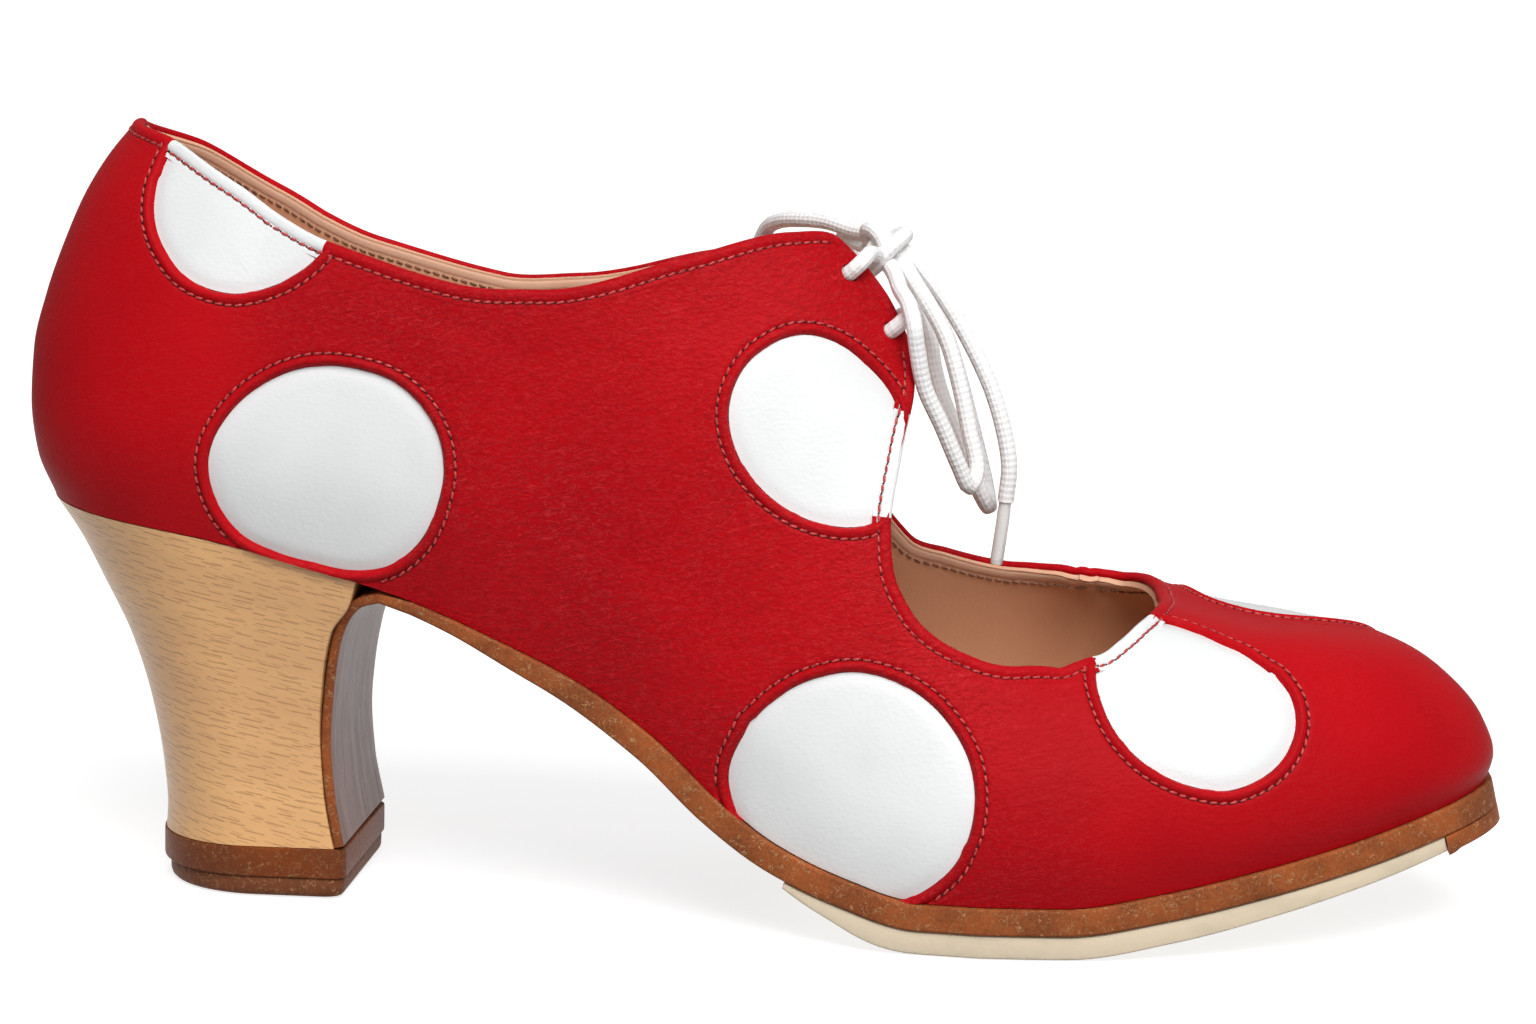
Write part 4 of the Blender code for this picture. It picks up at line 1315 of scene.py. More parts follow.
@dataclass
class Upper:
    """The red upper with its lining, inlays, hems, folded top edge and seams."""

    grid: float = 1.15
    leather: float = 1.1
    lining_depth: float = 1.55
    lining_thickness: float = 0.85
    hem_cut: float = 3.9
    stitch_pitch: float = 1.60
    stitch_length: float = 1.28
    stitch_radius: float = 0.24
    stitch_blunt: float = 0.7
    stitch_lean: float = 0.14
    hole_shade_radius: float = 0.21
    hem_seam: float = 1.92
    rim_seam: float = 1.75
    lining_seam: float = 2.35
    lining_seam_height: float = -2.45
    facing: tuple = (1.437, 1.552)
    eyelet_radius: float = 1.55
    eyelet_stations: tuple = (1.467, 1.529)
    eyelet_shares: tuple = (0.917, 0.916)
    drill_depth: float = 9.0
    inlay_depth: float = 0.34
    inlay_thickness: float = 0.55
    hem_profile: tuple = (
        (5.2, -0.35), (5.2, 0.025), (4.2, 0.03), (3.2, 0.05), (2.65, 0.07), (2.35, 0.04), (2.12, -0.06),
        (1.92, -0.14), (1.74, -0.06), (1.58, 0.12), (1.36, 0.30), (1.12, 0.42), (0.88, 0.46), (0.64, 0.40),
        (0.42, 0.22), (0.22, -0.10), (0.06, -0.50), (0.0, -0.80), (0.05, -1.15), (2.5, -1.15),
    )
    rim_profile: tuple = (
        (2.7, -0.35), (2.7, 0.02), (2.3, 0.035), (2.05, 0.02), (1.9, -0.05), (1.75, -0.11), (1.6, -0.04),
        (1.45, 0.10), (1.2, 0.24), (0.9, 0.33), (0.55, 0.35), (0.2, 0.26), (-0.1, 0.06), (-0.35, -0.3),
        (-0.45, -0.7), (-0.38, -1.05), (-0.1, -1.3), (0.5, -1.35), (1.5, -1.3), (2.4, -1.1),
    )
    lining_profile: tuple = (
        (0.3, -1.34), (0.12, -1.5), (0.04, -1.85), (0.12, -2.2), (0.4, -2.44), (0.8, -2.52), (1.3, -2.52),
        (1.75, -2.46), (1.9, -2.36), (1.9, -1.7), (1.2, -1.5),
    )
    white_sink: float = 0.36
    seams: list = field(default_factory=list)
    lining_seams: list = field(default_factory=list)

    def __post_init__(self) -> None:
        """Sets out the inlays."""
        self.inlays = [Inlay(dot, side) for side in Side for dot in DOTS]

    def columns(self, side: Side, spacing: float) -> Array:
        """Stations round one side, evenly spaced at mid height.

        Args:
            side: Side of the shoe.
            spacing: Distance between them in millimetres.

        Returns:
            The stations.
        """
        station = np.linspace(0.0, 3.0, 2400)
        spot = LAST.wall(station, 0.5 * LAST.rim(station, side), side)
        run = run_along(spot)
        return np.interp(np.linspace(0.0, run[-1], int(run[-1] / spacing)), run, station)

    def ring(self, spacing: float, rows: int) -> list[tuple[Side, Array]]:
        """Places from the sole line to the top edge, side by side round the shoe.

        Args:
            spacing: Distance between columns in millimetres.
            rows: Number of rows.

        Returns:
            Each side with its stations and shares.
        """
        found = []
        for side in Side:
            station = self.columns(side, spacing)
            if side is Side.MEDIAL:
                station = station[::-1][1:]
            share = np.linspace(0.0, 1.0, rows)[:, None] * LAST.rim(station, side)[None, :]
            found.append((side, np.stack([np.broadcast_to(station, share.shape), share], -1)))
        return found

    def build_shell(self) -> bpy.types.Object:
        """Makes the red leather: one sheet over the last with round windows and lace holes.

        Returns:
            The piece.
        """
        ring = self.ring(self.grid, 60)
        points = np.concatenate([LAST.face(uv, side) for side, uv in ring], axis=1)
        near = []
        for side, uv in ring:
            near.append(np.min([inlay.away(uv) for inlay in self.inlays if inlay.side is side], axis=0))
        inside = np.concatenate(near, axis=1) < self.hem_cut
        shell = Bench.lay("upper_red_leather", points)
        corners = inside[:-1, :-1] & inside[1:, :-1] & inside[:-1, 1:] & inside[1:, 1:]
        Bench.drop_faces(shell, corners.ravel())
        Bench.join_up(shell, fill=False)
        Bench.modify(shell, "SOLIDIFY", thickness=self.leather * MM, offset=-1.0)
        self.punch(shell)
        return Bench.finish(shell, RED, Shading.LEATHER, "upper")

    def build_lining(self) -> bpy.types.Object:
        """Makes the lining as a thin sheet inside the leather.

        Returns:
            The piece.
        """
        ring = self.ring(2.0, 36)
        points, below = [], []
        for side, uv in ring:
            points.append(LAST.at(uv, side)
                          - self.lining_depth * LAST.out(uv, side))
            edge = LAST.wall(uv[-1, :, 0], uv[-1, :, 1], side)
            spot = LAST.at(uv, side)
            flat = spot.reshape(-1, 1, 3)
            gap = np.concatenate([np.linalg.norm(part - edge[None], axis=-1).min(1)
                                  for part in np.array_split(flat, 60)])
            below.append(gap.reshape(spot.shape[:2]))
        lining = Bench.lay("lining", np.concatenate(points, axis=1))
        mark = lining.data.attributes.new("below_rim", "FLOAT", "POINT")
        mark.data.foreach_set("value", np.concatenate(below, axis=1).astype(np.float32).ravel())
        Bench.join_up(lining, fill=False)
        Bench.modify(lining, "SOLIDIFY", thickness=self.lining_thickness * MM, offset=-1.0)
        self.punch(lining)
        return Bench.finish(lining, LINING, Shading.SOFT)

    def eyelets(self, side: Side) -> tuple[Array, Array]:
        """The two lace holes of one side.

        Args:
            side: Side of the shoe.

        Returns:
            Their middles and their outward directions.
        """
        station, share = np.array(self.eyelet_stations), np.array(self.eyelet_shares)
        if side is Side.MEDIAL:
            share = share + LAST.rim(station, side) - LAST.rim(station, Side.LATERAL)
        return LAST.wall(station, share, side), LAST.normal(station, share, side)

    def punch(self, piece: bpy.types.Object) -> None:
        """Punches the four lace holes through a sheet.

        Args:
            piece: The sheet.
        """
        drills = []
        for side in Side:
            for middle, out in zip(*self.eyelets(side)):
                Bench.clear()
                bpy.ops.mesh.primitive_cylinder_add(vertices=24, radius=self.eyelet_radius * MM,
                                                    depth=self.drill_depth * MM)
                drill = bpy.context.active_object
                turn = Matrix(np.stack([*self.frame_of(out), out], -1).tolist()).to_4x4()
                drill.data.transform(Matrix.Translation((middle - 1.5 * out - SHIFT) * MM) @ turn)
                drills.append(drill)
        drill = Bench.weld("drill", drills)
        Bench.modify(piece, "BOOLEAN", operation="DIFFERENCE", solver="EXACT", object=drill)
        bpy.data.objects.remove(drill, do_unlink=True)

    @staticmethod
    def frame_of(out: Array) -> tuple[Array, Array]:
        """Returns two directions square to one direction and to each other."""
        first = unit(np.cross((1.0, 0.0, 0.0), out))
        return first, np.cross(out, first)

    def build_inlay(self, inlay: Inlay) -> bpy.types.Object:
        """Makes one white inlay, sunk at its round edge and crowned in the middle.

        Args:
            inlay: Where it lies.

        Returns:
            The piece.
        """
        ends, _ = inlay.rays(clip=True)
        start = np.array(inlay.start)
        share = np.linspace(0.0, 1.0, 22)[:, None, None] ** 0.8
        uv = start + share * (ends - start)[None]
        off = inlay.away(uv)
        edge = 0.26 * np.exp(-np.minimum(off, 0.0) ** 2 / 1.6)
        sink = -self.inlay_depth - edge - 0.10 * np.clip(off, 0.0, 1.0)
        top = LAST.face(uv, inlay.side, sink)
        low = LAST.face(uv, inlay.side, sink - self.inlay_thickness)
        rows = np.concatenate([top, low[::-1]], axis=0)
        rows = np.concatenate([rows, rows[:, :1]], axis=1)
        piece = Bench.lay(f"inlay_{inlay.tag}", rows)
        Bench.join_up(piece, fill=False)
        return Bench.finish(piece, WHITE, Shading.LEATHER, f"dot_{inlay.tag}")

    def build_hem(self, inlay: Inlay, seed: int) -> bpy.types.Object:
        """Makes the rolled red edge round one inlay and sets out its seam.

        Args:
            inlay: The inlay.
            seed: Seed of the cut edge's small teeth.

        Returns:
            The piece.
        """
        path, closed = inlay.arc()
        path = self.respace(path, inlay.side, 0.75)
        path = path[path[:, 1] < LAST.rim(path[:, 0], inlay.side) - 0.004]
        if closed:
            path = path[:-1]
        spot = LAST.at(path, inlay.side)
        outward = spot - inlay.middle
        wave = np.random.default_rng(seed).normal(size=len(path))
        kernel = np.array((0.25, 0.5, 0.25))
        wave = np.convolve(np.concatenate([wave[-1:], wave, wave[:1]]), kernel, "valid")
        teeth = 0.10 * wave - 0.22 * (wave > 1.05)
        profile = np.array(self.hem_profile)
        away = np.repeat(profile[None, :, 0], len(path), axis=0)
        inner = (profile[:, 0] < 0.7) & (profile[:, 1] < 0.4)
        away = away + teeth[:, None] * inner[None, :] * np.clip(1.0 - profile[:, 0] / 0.7, 0.0, 1.0)[None, :]
        if closed:
            path, away, outward = (self.wrap(rows) for rows in (path, away, outward))
        places = LAST.beside(path, inlay.side, away, outward, 0.0, HEM_LIMIT)
        if closed:
            places = places[2:-2]
        places[..., 1] = np.minimum(places[..., 1], LAST.rim(places[..., 0], inlay.side) - 0.006)
        rows = LAST.face(places, inlay.side, np.broadcast_to(profile[:, 1], places.shape[:2]))
        piece = Bench.sweep(f"hem_{inlay.tag}", rows, closed)
        seam = LAST.beside(path, inlay.side, np.array((self.hem_seam,)), outward, -0.02, HEM_LIMIT)[:, 0]
        room = (seam[:, 1] > 0.012) & (seam[:, 1] < LAST.rim(seam[:, 0], inlay.side) - 0.012)
        self.seams.append((inlay.side, seam, room, np.zeros(len(seam))))
        return Bench.finish(piece, RED, Shading.LEATHER)

    @staticmethod
    def wrap(rows: Array) -> Array:
        """Returns rows of a closed path with two more at each end."""
        return np.concatenate([rows[-2:], rows, rows[:2]])

    @staticmethod
    def respace(path: Array, side: Side, spacing: float) -> Array:
        """Spaces a path on the last evenly.

        Args:
            path: Stations and shares.
            side: Side of the shoe.
            spacing: Distance in millimetres.

        Returns:
            The new path.
        """
        spot = LAST.at(path, side)
        run = run_along(spot)
        at = np.linspace(0.0, run[-1], int(run[-1] / spacing) + 1)
        return np.stack([np.interp(at, run, path[:, k]) for k in range(2)], -1)

    def build_rim(self) -> list[bpy.types.Object]:
        """Makes the folded top edge, red between the inlays and white along them, and sets out its seams.

        Returns:
            The edge pieces.
        """
        profile, inside = np.array(self.rim_profile), np.array(self.lining_profile)
        loops, white, linings = [], [], []
        for side in Side:
            path = LAST.rim_path(side, 0.9)
            down = LAST.wall(path[:, 0], path[:, 1] - 0.02, side) - LAST.at(path, side)
            low = LAST.beside(path, side, np.array((1.3,)), down, 0.0, RIM_LIMIT)[:, 0]
            cut_in = [inlay for inlay in self.inlays if inlay.side is side and not inlay.bound]
            near = np.min([inlay.away(low) for inlay in cut_in], axis=0)
            sink = self.white_sink * (near < 0.0)
            places = LAST.beside(path, side, profile[:, 0], down, 0.0, RIM_LIMIT)
            share = np.clip((profile[:, 0] + 0.2) / 0.6, 0.0, 1.0) * (profile[:, 1] > -0.4)
            rows = self.offset(places, side, profile[None, :, 1] - sink[:, None] * share[None, :])
            places = LAST.beside(path, side, inside[:, 0], down, 0.0, RIM_LIMIT)
            lining = self.offset(places, side, np.broadcast_to(inside[:, 1], places.shape[:2]))
            seam = LAST.beside(path, side, np.array((self.rim_seam,)), down, 0.0, RIM_LIMIT)[:, 0]
            plain = (path[:, 0] > self.facing[0]) & (path[:, 0] < self.facing[1])
            self.seams.append((side, seam, ~plain, -sink))
            under = LAST.beside(path, side, np.array((self.lining_seam,)), down, 0.0, RIM_LIMIT)[:, 0]
            self.lining_seams.append((side, under, ~plain, np.full(len(path), self.lining_seam_height)))
            order = slice(None) if side is Side.LATERAL else slice(None, None, -1)
            cut = slice(None) if side is Side.LATERAL else slice(1, -1)
            loops.append(rows[order][cut])
            linings.append(lining[order][cut])
            white.append((near < 0.0)[order][cut])
        edge = Bench.sweep("lining_edge", np.concatenate(linings), True)
        pieces = [Bench.finish(edge, LINING_EDGE, Shading.LEATHER)]
        rows, white = np.concatenate(loops), np.concatenate(white)
        first = int(np.argmax(white))
        rows, white = np.roll(rows, -first, axis=0), np.roll(white, -first)
        breaks = [0, *(np.flatnonzero(np.diff(white.astype(int))) + 1), len(white)]
        for k, (a, b) in enumerate(zip(breaks[:-1], breaks[1:])):
            is_white = bool(white[a])
            reach = 2 if is_white else 0
            index = np.arange(a - reach, b + reach) % len(rows)
            part = rows[index]
            if is_white:
                middle = part.mean(axis=1, keepdims=True)
                part = middle + (part - middle) * 0.985
            name = f"top_edge_{'white' if is_white else 'red'}_{k}"
            piece = Bench.sweep(name, part, False)
            pieces.append(Bench.finish(piece, WHITE if is_white else RED, Shading.LEATHER))
        return pieces

    @staticmethod
    def offset(places: Array, side: Side, height: Array) -> Array:
        """Returns points over plain places of the face, without its creases."""
        station, share = places[..., 0], places[..., 1]
        return LAST.wall(station, share, side) + height[..., None] * LAST.normal(station, share, side)

    def stitch_shape(self) -> tuple[Array, list]:
        """Models one stitch.

        Returns:
            Its points in millimetres and its faces.
        """
        Bench.clear()
        bpy.ops.mesh.primitive_uv_sphere_add(segments=6, ring_count=5, radius=0.5)
        bpy.ops.object.mode_set(mode="EDIT")
        bpy.ops.mesh.select_all(action="SELECT")
        bpy.ops.transform.resize(value=(2 * self.stitch_radius, 2 * self.stitch_radius, self.stitch_length))
        bpy.ops.object.mode_set(mode="OBJECT")
        points, faces = Bench.take_shape()
        half = 0.5 * self.stitch_length
        points[:, 2] = np.sign(points[:, 2]) * np.abs(points[:, 2] / half) ** self.stitch_blunt
        points[:, 2] *= half
        return points, faces

    def sew(self, name: str, seams: list, inward: bool, finish: Finish) -> bpy.types.Object:
        """Sets stitches along seams.

        Args:
            name: Name of the piece.
            seams: Side, path, flags where it is sewn, and height above the face of each seam.
            inward: True if the stitches show on the inside.
            finish: Finish of the thread.

        Returns:
            The piece.
        """
        shape, faces = self.stitch_shape()
        points, holes = [], []
        for side, path, sewn, height in seams:
            spot = LAST.at(path, side)
            run = run_along(spot)
            at = np.arange(0.5 * self.stitch_pitch, run[-1], self.stitch_pitch)
            uv = np.stack([np.interp(at, run, path[:, k]) for k in range(2)], -1)
            kept = np.interp(at, run, sewn.astype(float)) > 0.99
            out = LAST.out(uv, side)
            raised = np.interp(at, run, height)
            middle = self.offset(uv, side, raised) if inward else LAST.face(uv, side, raised)
            along = unit(np.gradient(middle, axis=0))
            across = unit(np.cross(out, along))
            up = np.cross(along, across)
            lift = -0.02 if inward else 0.06
            for k in np.flatnonzero(kept):
                lean = self.stitch_lean * across[k] + along[k]
                points.append(middle[k] + lift * up[k] + shape[:, :1] * across[k] + shape[:, 1:2] * up[k]
                              + shape[:, 2:] * lean)
            # Outer seams get a near-black dot at each stitch hole, half a pitch along: painted shade in the hole.
            if not inward:
                holes.append(middle[kept] + 0.5 * self.stitch_pitch * along[kept])
        piece = Bench.finish(Bench.copies(name, np.array(points), faces), finish, Shading.THREAD)
        if holes:
            self.paint_hole_shade(np.concatenate(holes))
        return piece

    def paint_hole_shade(self, spots: Array) -> bpy.types.Object:
        """Sets a small near-black dot at each stitch hole: painted shade in the hole.

        Args:
            spots: Middles of the holes.

        Returns:
            The piece.
        """
        Bench.clear()
        bpy.ops.mesh.primitive_ico_sphere_add(subdivisions=1, radius=self.hole_shade_radius)
        shape, faces = Bench.take_shape()
        piece = Bench.copies("needle_holes", spots[:, None, :] + shape[None], faces)
        return Bench.finish(piece, HOLE_SHADE, Shading.THREAD)

    def build(self) -> None:
        """Makes every piece of the upper."""
        self.build_shell()
        self.build_lining()
        for k, inlay in enumerate(self.inlays):
            self.build_inlay(inlay)
            self.build_hem(inlay, 11 + k)
        self.build_rim()
        self.sew("seams_red", self.seams, False, RED_THREAD)
        self.sew("seams_lining", self.lining_seams, True, TAN_THREAD)


@dataclass
class Sole:
    """Insole, outsole with its breast, forefoot pad and toe piece."""

    margin: float = 0.9
    tip: float = 235.3
    waist_x: float = 66.0
    gap: float = 0.3
    pad_start: float = 127.0
    pad_end: float = 225.5
    thickness_x: tuple = (60, 72, 86, 104, 240)
    thickness_mm: tuple = (1.5, 2.0, 3.3, 4.0, 4.0)
    pad_x: tuple = (127, 132, 143, 170, 226)
    pad_mm: tuple = (0.8, 1.8, 3.3, 3.3, 2.1)
    breast_x: tuple = (52.6, 51.0, 50.4, 50.9, 52.4, 54.6, 57.2, 60.6)
    breast_z: tuple = (8.3, 17.0, 25.4, 33.0, 41.9, 46.9, 49.3, 50.3)
    breast_half: tuple = (18.8, 18.3, 18.5, 19.0, 20.8, 22.3, 23.7, 24.8)

    def rows(self, start: float, end: float, count: int) -> Array:
        """Places along the sole, closing up towards the toe tip.

        Args:
            start: First x.
            end: Last x.
            count: Number of places.

        Returns:
            The places.
        """
        reach = self.tip + 0.2 - self.waist_x
        turn = np.linspace(math.asin((start - self.waist_x) / reach), math.asin((end - self.waist_x) / reach), count)
        return self.waist_x + reach * np.sin(turn)

    @staticmethod
    def profile(lateral: Array, medial: Array, thick: Array, soft: float) -> tuple[Array, Array]:
        """Sideways places and depths of a layer's section with softened edges.

        Args:
            lateral: Lateral edge of each row.
            medial: Medial edge of each row.
            thick: Thickness of each row.
            soft: Radius of the edges.

        Returns:
            Y and depth, one row of points for each row.
        """
        width = medial - lateral
        soft_y = np.minimum(soft, 0.2 * width)[:, None]
        soft_d = np.minimum(soft, 0.3 * thick)[:, None]
        turn = np.linspace(0.0, 0.5 * math.pi, 4)[None]
        lat, med, deep = lateral[:, None], medial[:, None], thick[:, None]
        flat = np.linspace(0.12, 0.88, 7)[None]
        y = np.concatenate([
            lat + soft_y * (1 - np.sin(turn)), lat + soft_y * (1 - np.cos(turn)),
            lat + width[:, None] * flat,
            med - soft_y * (1 - np.sin(turn)), med - soft_y * (1 - np.cos(turn)),
            lat + width[:, None] * flat[:, ::-1],
        ], axis=1)
        none = np.zeros_like(lat)
        depth = np.concatenate([
            soft_d * (1 - np.cos(turn)), deep - soft_d * (1 - np.sin(turn)), deep + 0 * flat,
            deep - soft_d * (1 - np.cos(turn)), soft_d * (1 - np.sin(turn)), none + 0 * flat,
        ], axis=1)
        return y, depth

    def layer(self, name: str, x: Array, margin: float, top: Array, thick: Array, soft: float) -> bpy.types.Object:
        """Makes one flat layer across the foot.

        Args:
            name: Name of the piece.
            x: Places along the shoe.
            margin: Distance past the sole line in plan.
            top: Depth of its top below the sole line.
            thick: Its thickness.
            soft: Radius of its edges.

        Returns:
            The piece.
        """
        lateral, medial = (LAST.outline(x, side, margin) for side in Side)
        y, depth = self.profile(lateral, medial, thick, soft)
        at_x, at_z = LAST.under_sole(x[:, None], top[:, None] + depth)
        return Bench.sweep(name, np.stack([at_x, y, at_z], -1), False)

    def build(self) -> None:
        """Makes every layer of the sole."""
        heel_turn = np.linspace(0.05, 0.5 * math.pi, 30)
        insole_x = np.concatenate([31.0 - 23.7 * np.cos(heel_turn), np.linspace(31.0, self.waist_x, 20)[1:-1],
                                   self.rows(self.waist_x, self.tip - 4.5, 80)])
        insole = self.layer("insole_leather", insole_x, -3.0, np.full(len(insole_x), -2.5),
                            np.full(len(insole_x), 2.4), 0.4)
        Bench.finish(insole, INSOLE, Shading.SOLE, "insole")
        self.build_outsole()
        pad_x = self.rows(self.pad_start, self.pad_end, 90)
        thick = smooth(self.pad_x, self.pad_mm, pad_x)
        base = smooth(self.thickness_x, self.thickness_mm, pad_x) + 2 * self.gap
        pad = self.layer("rubber_pad", pad_x, self.margin - 0.5, base - 0.25, thick + 0.25, 0.35)
        Bench.finish(pad, RUBBER, Shading.SOLE, "forefoot_pad")
        toe_x = self.rows(self.pad_end + 0.2, self.tip, 30)
        toe_thick = np.full(len(toe_x), thick[-1] + 0.3)
        toe_thick[:4] += np.array((0.35, 0.35, 0.30, 0.12))
        toe_top = np.full(len(toe_x), base[-1] - 0.25)
        toe = self.layer("toe_leather", toe_x, self.margin, toe_top, toe_thick + 0.25, 0.5)
        Bench.finish(toe, EDGE, Shading.SOLE, "toe_piece")

    def build_outsole(self) -> bpy.types.Object:
        """Makes the outsole with its turn down the breast; its underside is polished.

        Returns:
            The piece.
        """
        fore_x = self.rows(self.waist_x, self.tip, 150)
        knots = np.arange(len(self.breast_x), dtype=float)
        at = np.linspace(0.0, knots[-1], 46)
        line_x = np.concatenate([smooth(knots, self.breast_x, at), fore_x])
        line_z = np.concatenate([smooth(knots, self.breast_z, at), LAST.sole_line(fore_x) - self.gap + 0.15])
        half = smooth(knots, self.breast_half, at)
        run = unit(np.stack([np.gradient(line_x), np.gradient(line_z)], -1))
        thick = smooth(self.thickness_x, self.thickness_mm, line_x)
        thick[:len(at)] = self.thickness_mm[0]
        thick = thick + 0.1
        lateral = np.concatenate([-half, LAST.outline(fore_x, Side.LATERAL, self.margin)])
        medial = np.concatenate([half, LAST.outline(fore_x, Side.MEDIAL, self.margin)])
        y, depth = self.profile(lateral, medial, thick, 0.45)
        x = line_x[:, None] + depth * run[:, 1:]
        z = line_z[:, None] - depth * run[:, :1]
        piece = Bench.sweep("sole_leather", np.stack([x, y, z], -1), False)
        piece.data.materials.append(EDGE.material())
        piece.data.materials.append(POLISH.material())
        normals = np.zeros(len(piece.data.polygons) * 3, np.float32)
        piece.data.polygons.foreach_get("normal", normals)
        normals = normals.reshape(-1, 3)
        middles = np.zeros_like(normals).ravel()
        piece.data.polygons.foreach_get("center", middles)
        breast = (normals[:, 0] > 0.6) & (middles[::3] < (self.waist_x - SHIFT[0]) * MM)
        under = (np.abs(normals[:, 1]) < 0.35) & ((normals[:, 2] < -0.3) | breast)
        piece.data.polygons.foreach_set("material_index", under.astype(np.int32))
        return Bench.finish(piece, EDGE, Shading.SOLE, "outsole")


@dataclass
class Heel:
    """Wooden heel with its two layers of lift."""

    lift_top: float = 8.0
    tap_top: float = 3.2
    gap: float = 0.3
    levels: tuple = (
        Level(0.00, 22.0, 52.6, 18.8), Level(0.06, 22.2, 51.9, 18.4), Level(0.20, 21.6, 50.8, 18.2),
        Level(0.40, 19.7, 50.3, 18.9), Level(0.60, 16.4, 50.95, 20.4), Level(0.78, 11.6, 52.6, 22.4),
        Level(0.90, 8.0, 55.7, 24.0),
    )
    lift: Level = Level(0.0, 21.7, 54.4, 19.1)
    arc: int = 26

    def half_ring(self, level: Level, corner: float) -> Array:
        """Line from the back round one side to the breast.

        Args:
            level: Its sizes.
            corner: Radius of the front corner.

        Returns:
            X and y of its points.
        """
        middle = 0.5 * (level.back_x + level.front_x) + 1.5
        turn = np.linspace(0.0, 0.5 * math.pi, self.arc)
        flank = np.linspace(middle, level.front_x - corner, 10)[1:]
        bend = np.linspace(0.0, 0.5 * math.pi, 7)[1:]
        x = [middle - (middle - level.back_x) * np.cos(turn), flank, level.front_x - corner + corner * np.sin(bend)]
        y = [level.half * np.sin(turn), np.full(9, level.half), level.half - corner + corner * np.cos(bend)]
        return np.stack([np.concatenate(x), np.concatenate(y)], -1)

    @staticmethod
    def loop(half: Array, z: Any) -> Array:
        """Makes a whole ring from its half.

        Args:
            half: X and y of the half.
            z: Height, one for all or one for each point.

        Returns:
            The ring.
        """
        both = np.concatenate([half[:0:-1] * (1, -1), half])
        height = np.broadcast_to(z, (len(half),))
        return np.column_stack([both, np.concatenate([height[:0:-1], height])])

    def seat(self) -> Array:
        """Heel seat under the upper, with as many points as a half ring.

        Returns:
            X and y of its points.
        """
        back = LAST.wall(np.linspace(0.0, 1.0, self.arc), 0.0, Side.MEDIAL)[:, :2]
        flank_x = np.linspace(31.0, 56.6, 10)[1:]
        flank = np.stack([flank_x, LAST.outline(flank_x, Side.MEDIAL)], -1)
        bend = np.linspace(0.0, 0.5 * math.pi, 7)[1:]
        corner = np.stack([flank[-1, 0] + 0.4 * np.sin(bend), flank[-1, 1] - 0.4 + 0.4 * np.cos(bend)], -1)
        return np.concatenate([back, flank, corner])

    def build(self) -> None:
        """Makes the wooden block and both layers of lift."""
        seat = self.seat()
        shares = np.array([level.share for level in self.levels] + [1.0])
        halves = np.stack([self.half_ring(level, 0.4) for level in self.levels] + [seat])
        base = self.lift_top + 0.1
        rings = []
        for share in np.linspace(0.0, 1.0, 44):
            half = np.stack([[smooth(shares, halves[:, k, a], share) for a in range(2)]
                             for k in range(halves.shape[1])])
            top = LAST.sole_line(half[:, 0]) - self.gap + 0.12
            rings.append(self.loop(half, base + share * (top - base)))
        block = Bench.sweep("wooden_heel", np.array(rings), False)
        Bench.finish(block, BEECH, Shading.HEEL, "heel_block")
        steps = ((0.35, self.tap_top), (0.08, self.tap_top + 0.18), (0.0, self.tap_top + 0.5),
                 (0.0, self.lift_top - 0.5), (0.05, self.lift_top - 0.15), (0.25, self.lift_top))
        Bench.finish(self.layer("lift_leather", steps, 0.0), LIFT_EDGE, Shading.HEEL, "heel_lift")
        steps = ((1.6, 0.0), (1.0, 0.18), (0.62, 0.55), (0.45, 1.1), (0.40, self.tap_top - 0.35),
                 (0.55, self.tap_top - 0.05))
        Bench.finish(self.layer("tap_leather", steps, 0.6), TAP_EDGE, Shading.HEEL, "heel_tap")

    def layer(self, name: str, steps: Any, back: float) -> bpy.types.Object:
        """Makes one layer of lift.

        Args:
            name: Name of the piece.
            steps: Insets and their heights.
            back: Further inset at the back.

        Returns:
            The piece.
        """
        rings = []
        for inset, z in steps:
            level = Level(0.0, self.lift.back_x + back + inset, self.lift.front_x - inset, self.lift.half - inset)
            rings.append(self.loop(self.half_ring(level, 2.2), z))
        return Bench.sweep(name, np.array(rings), False)


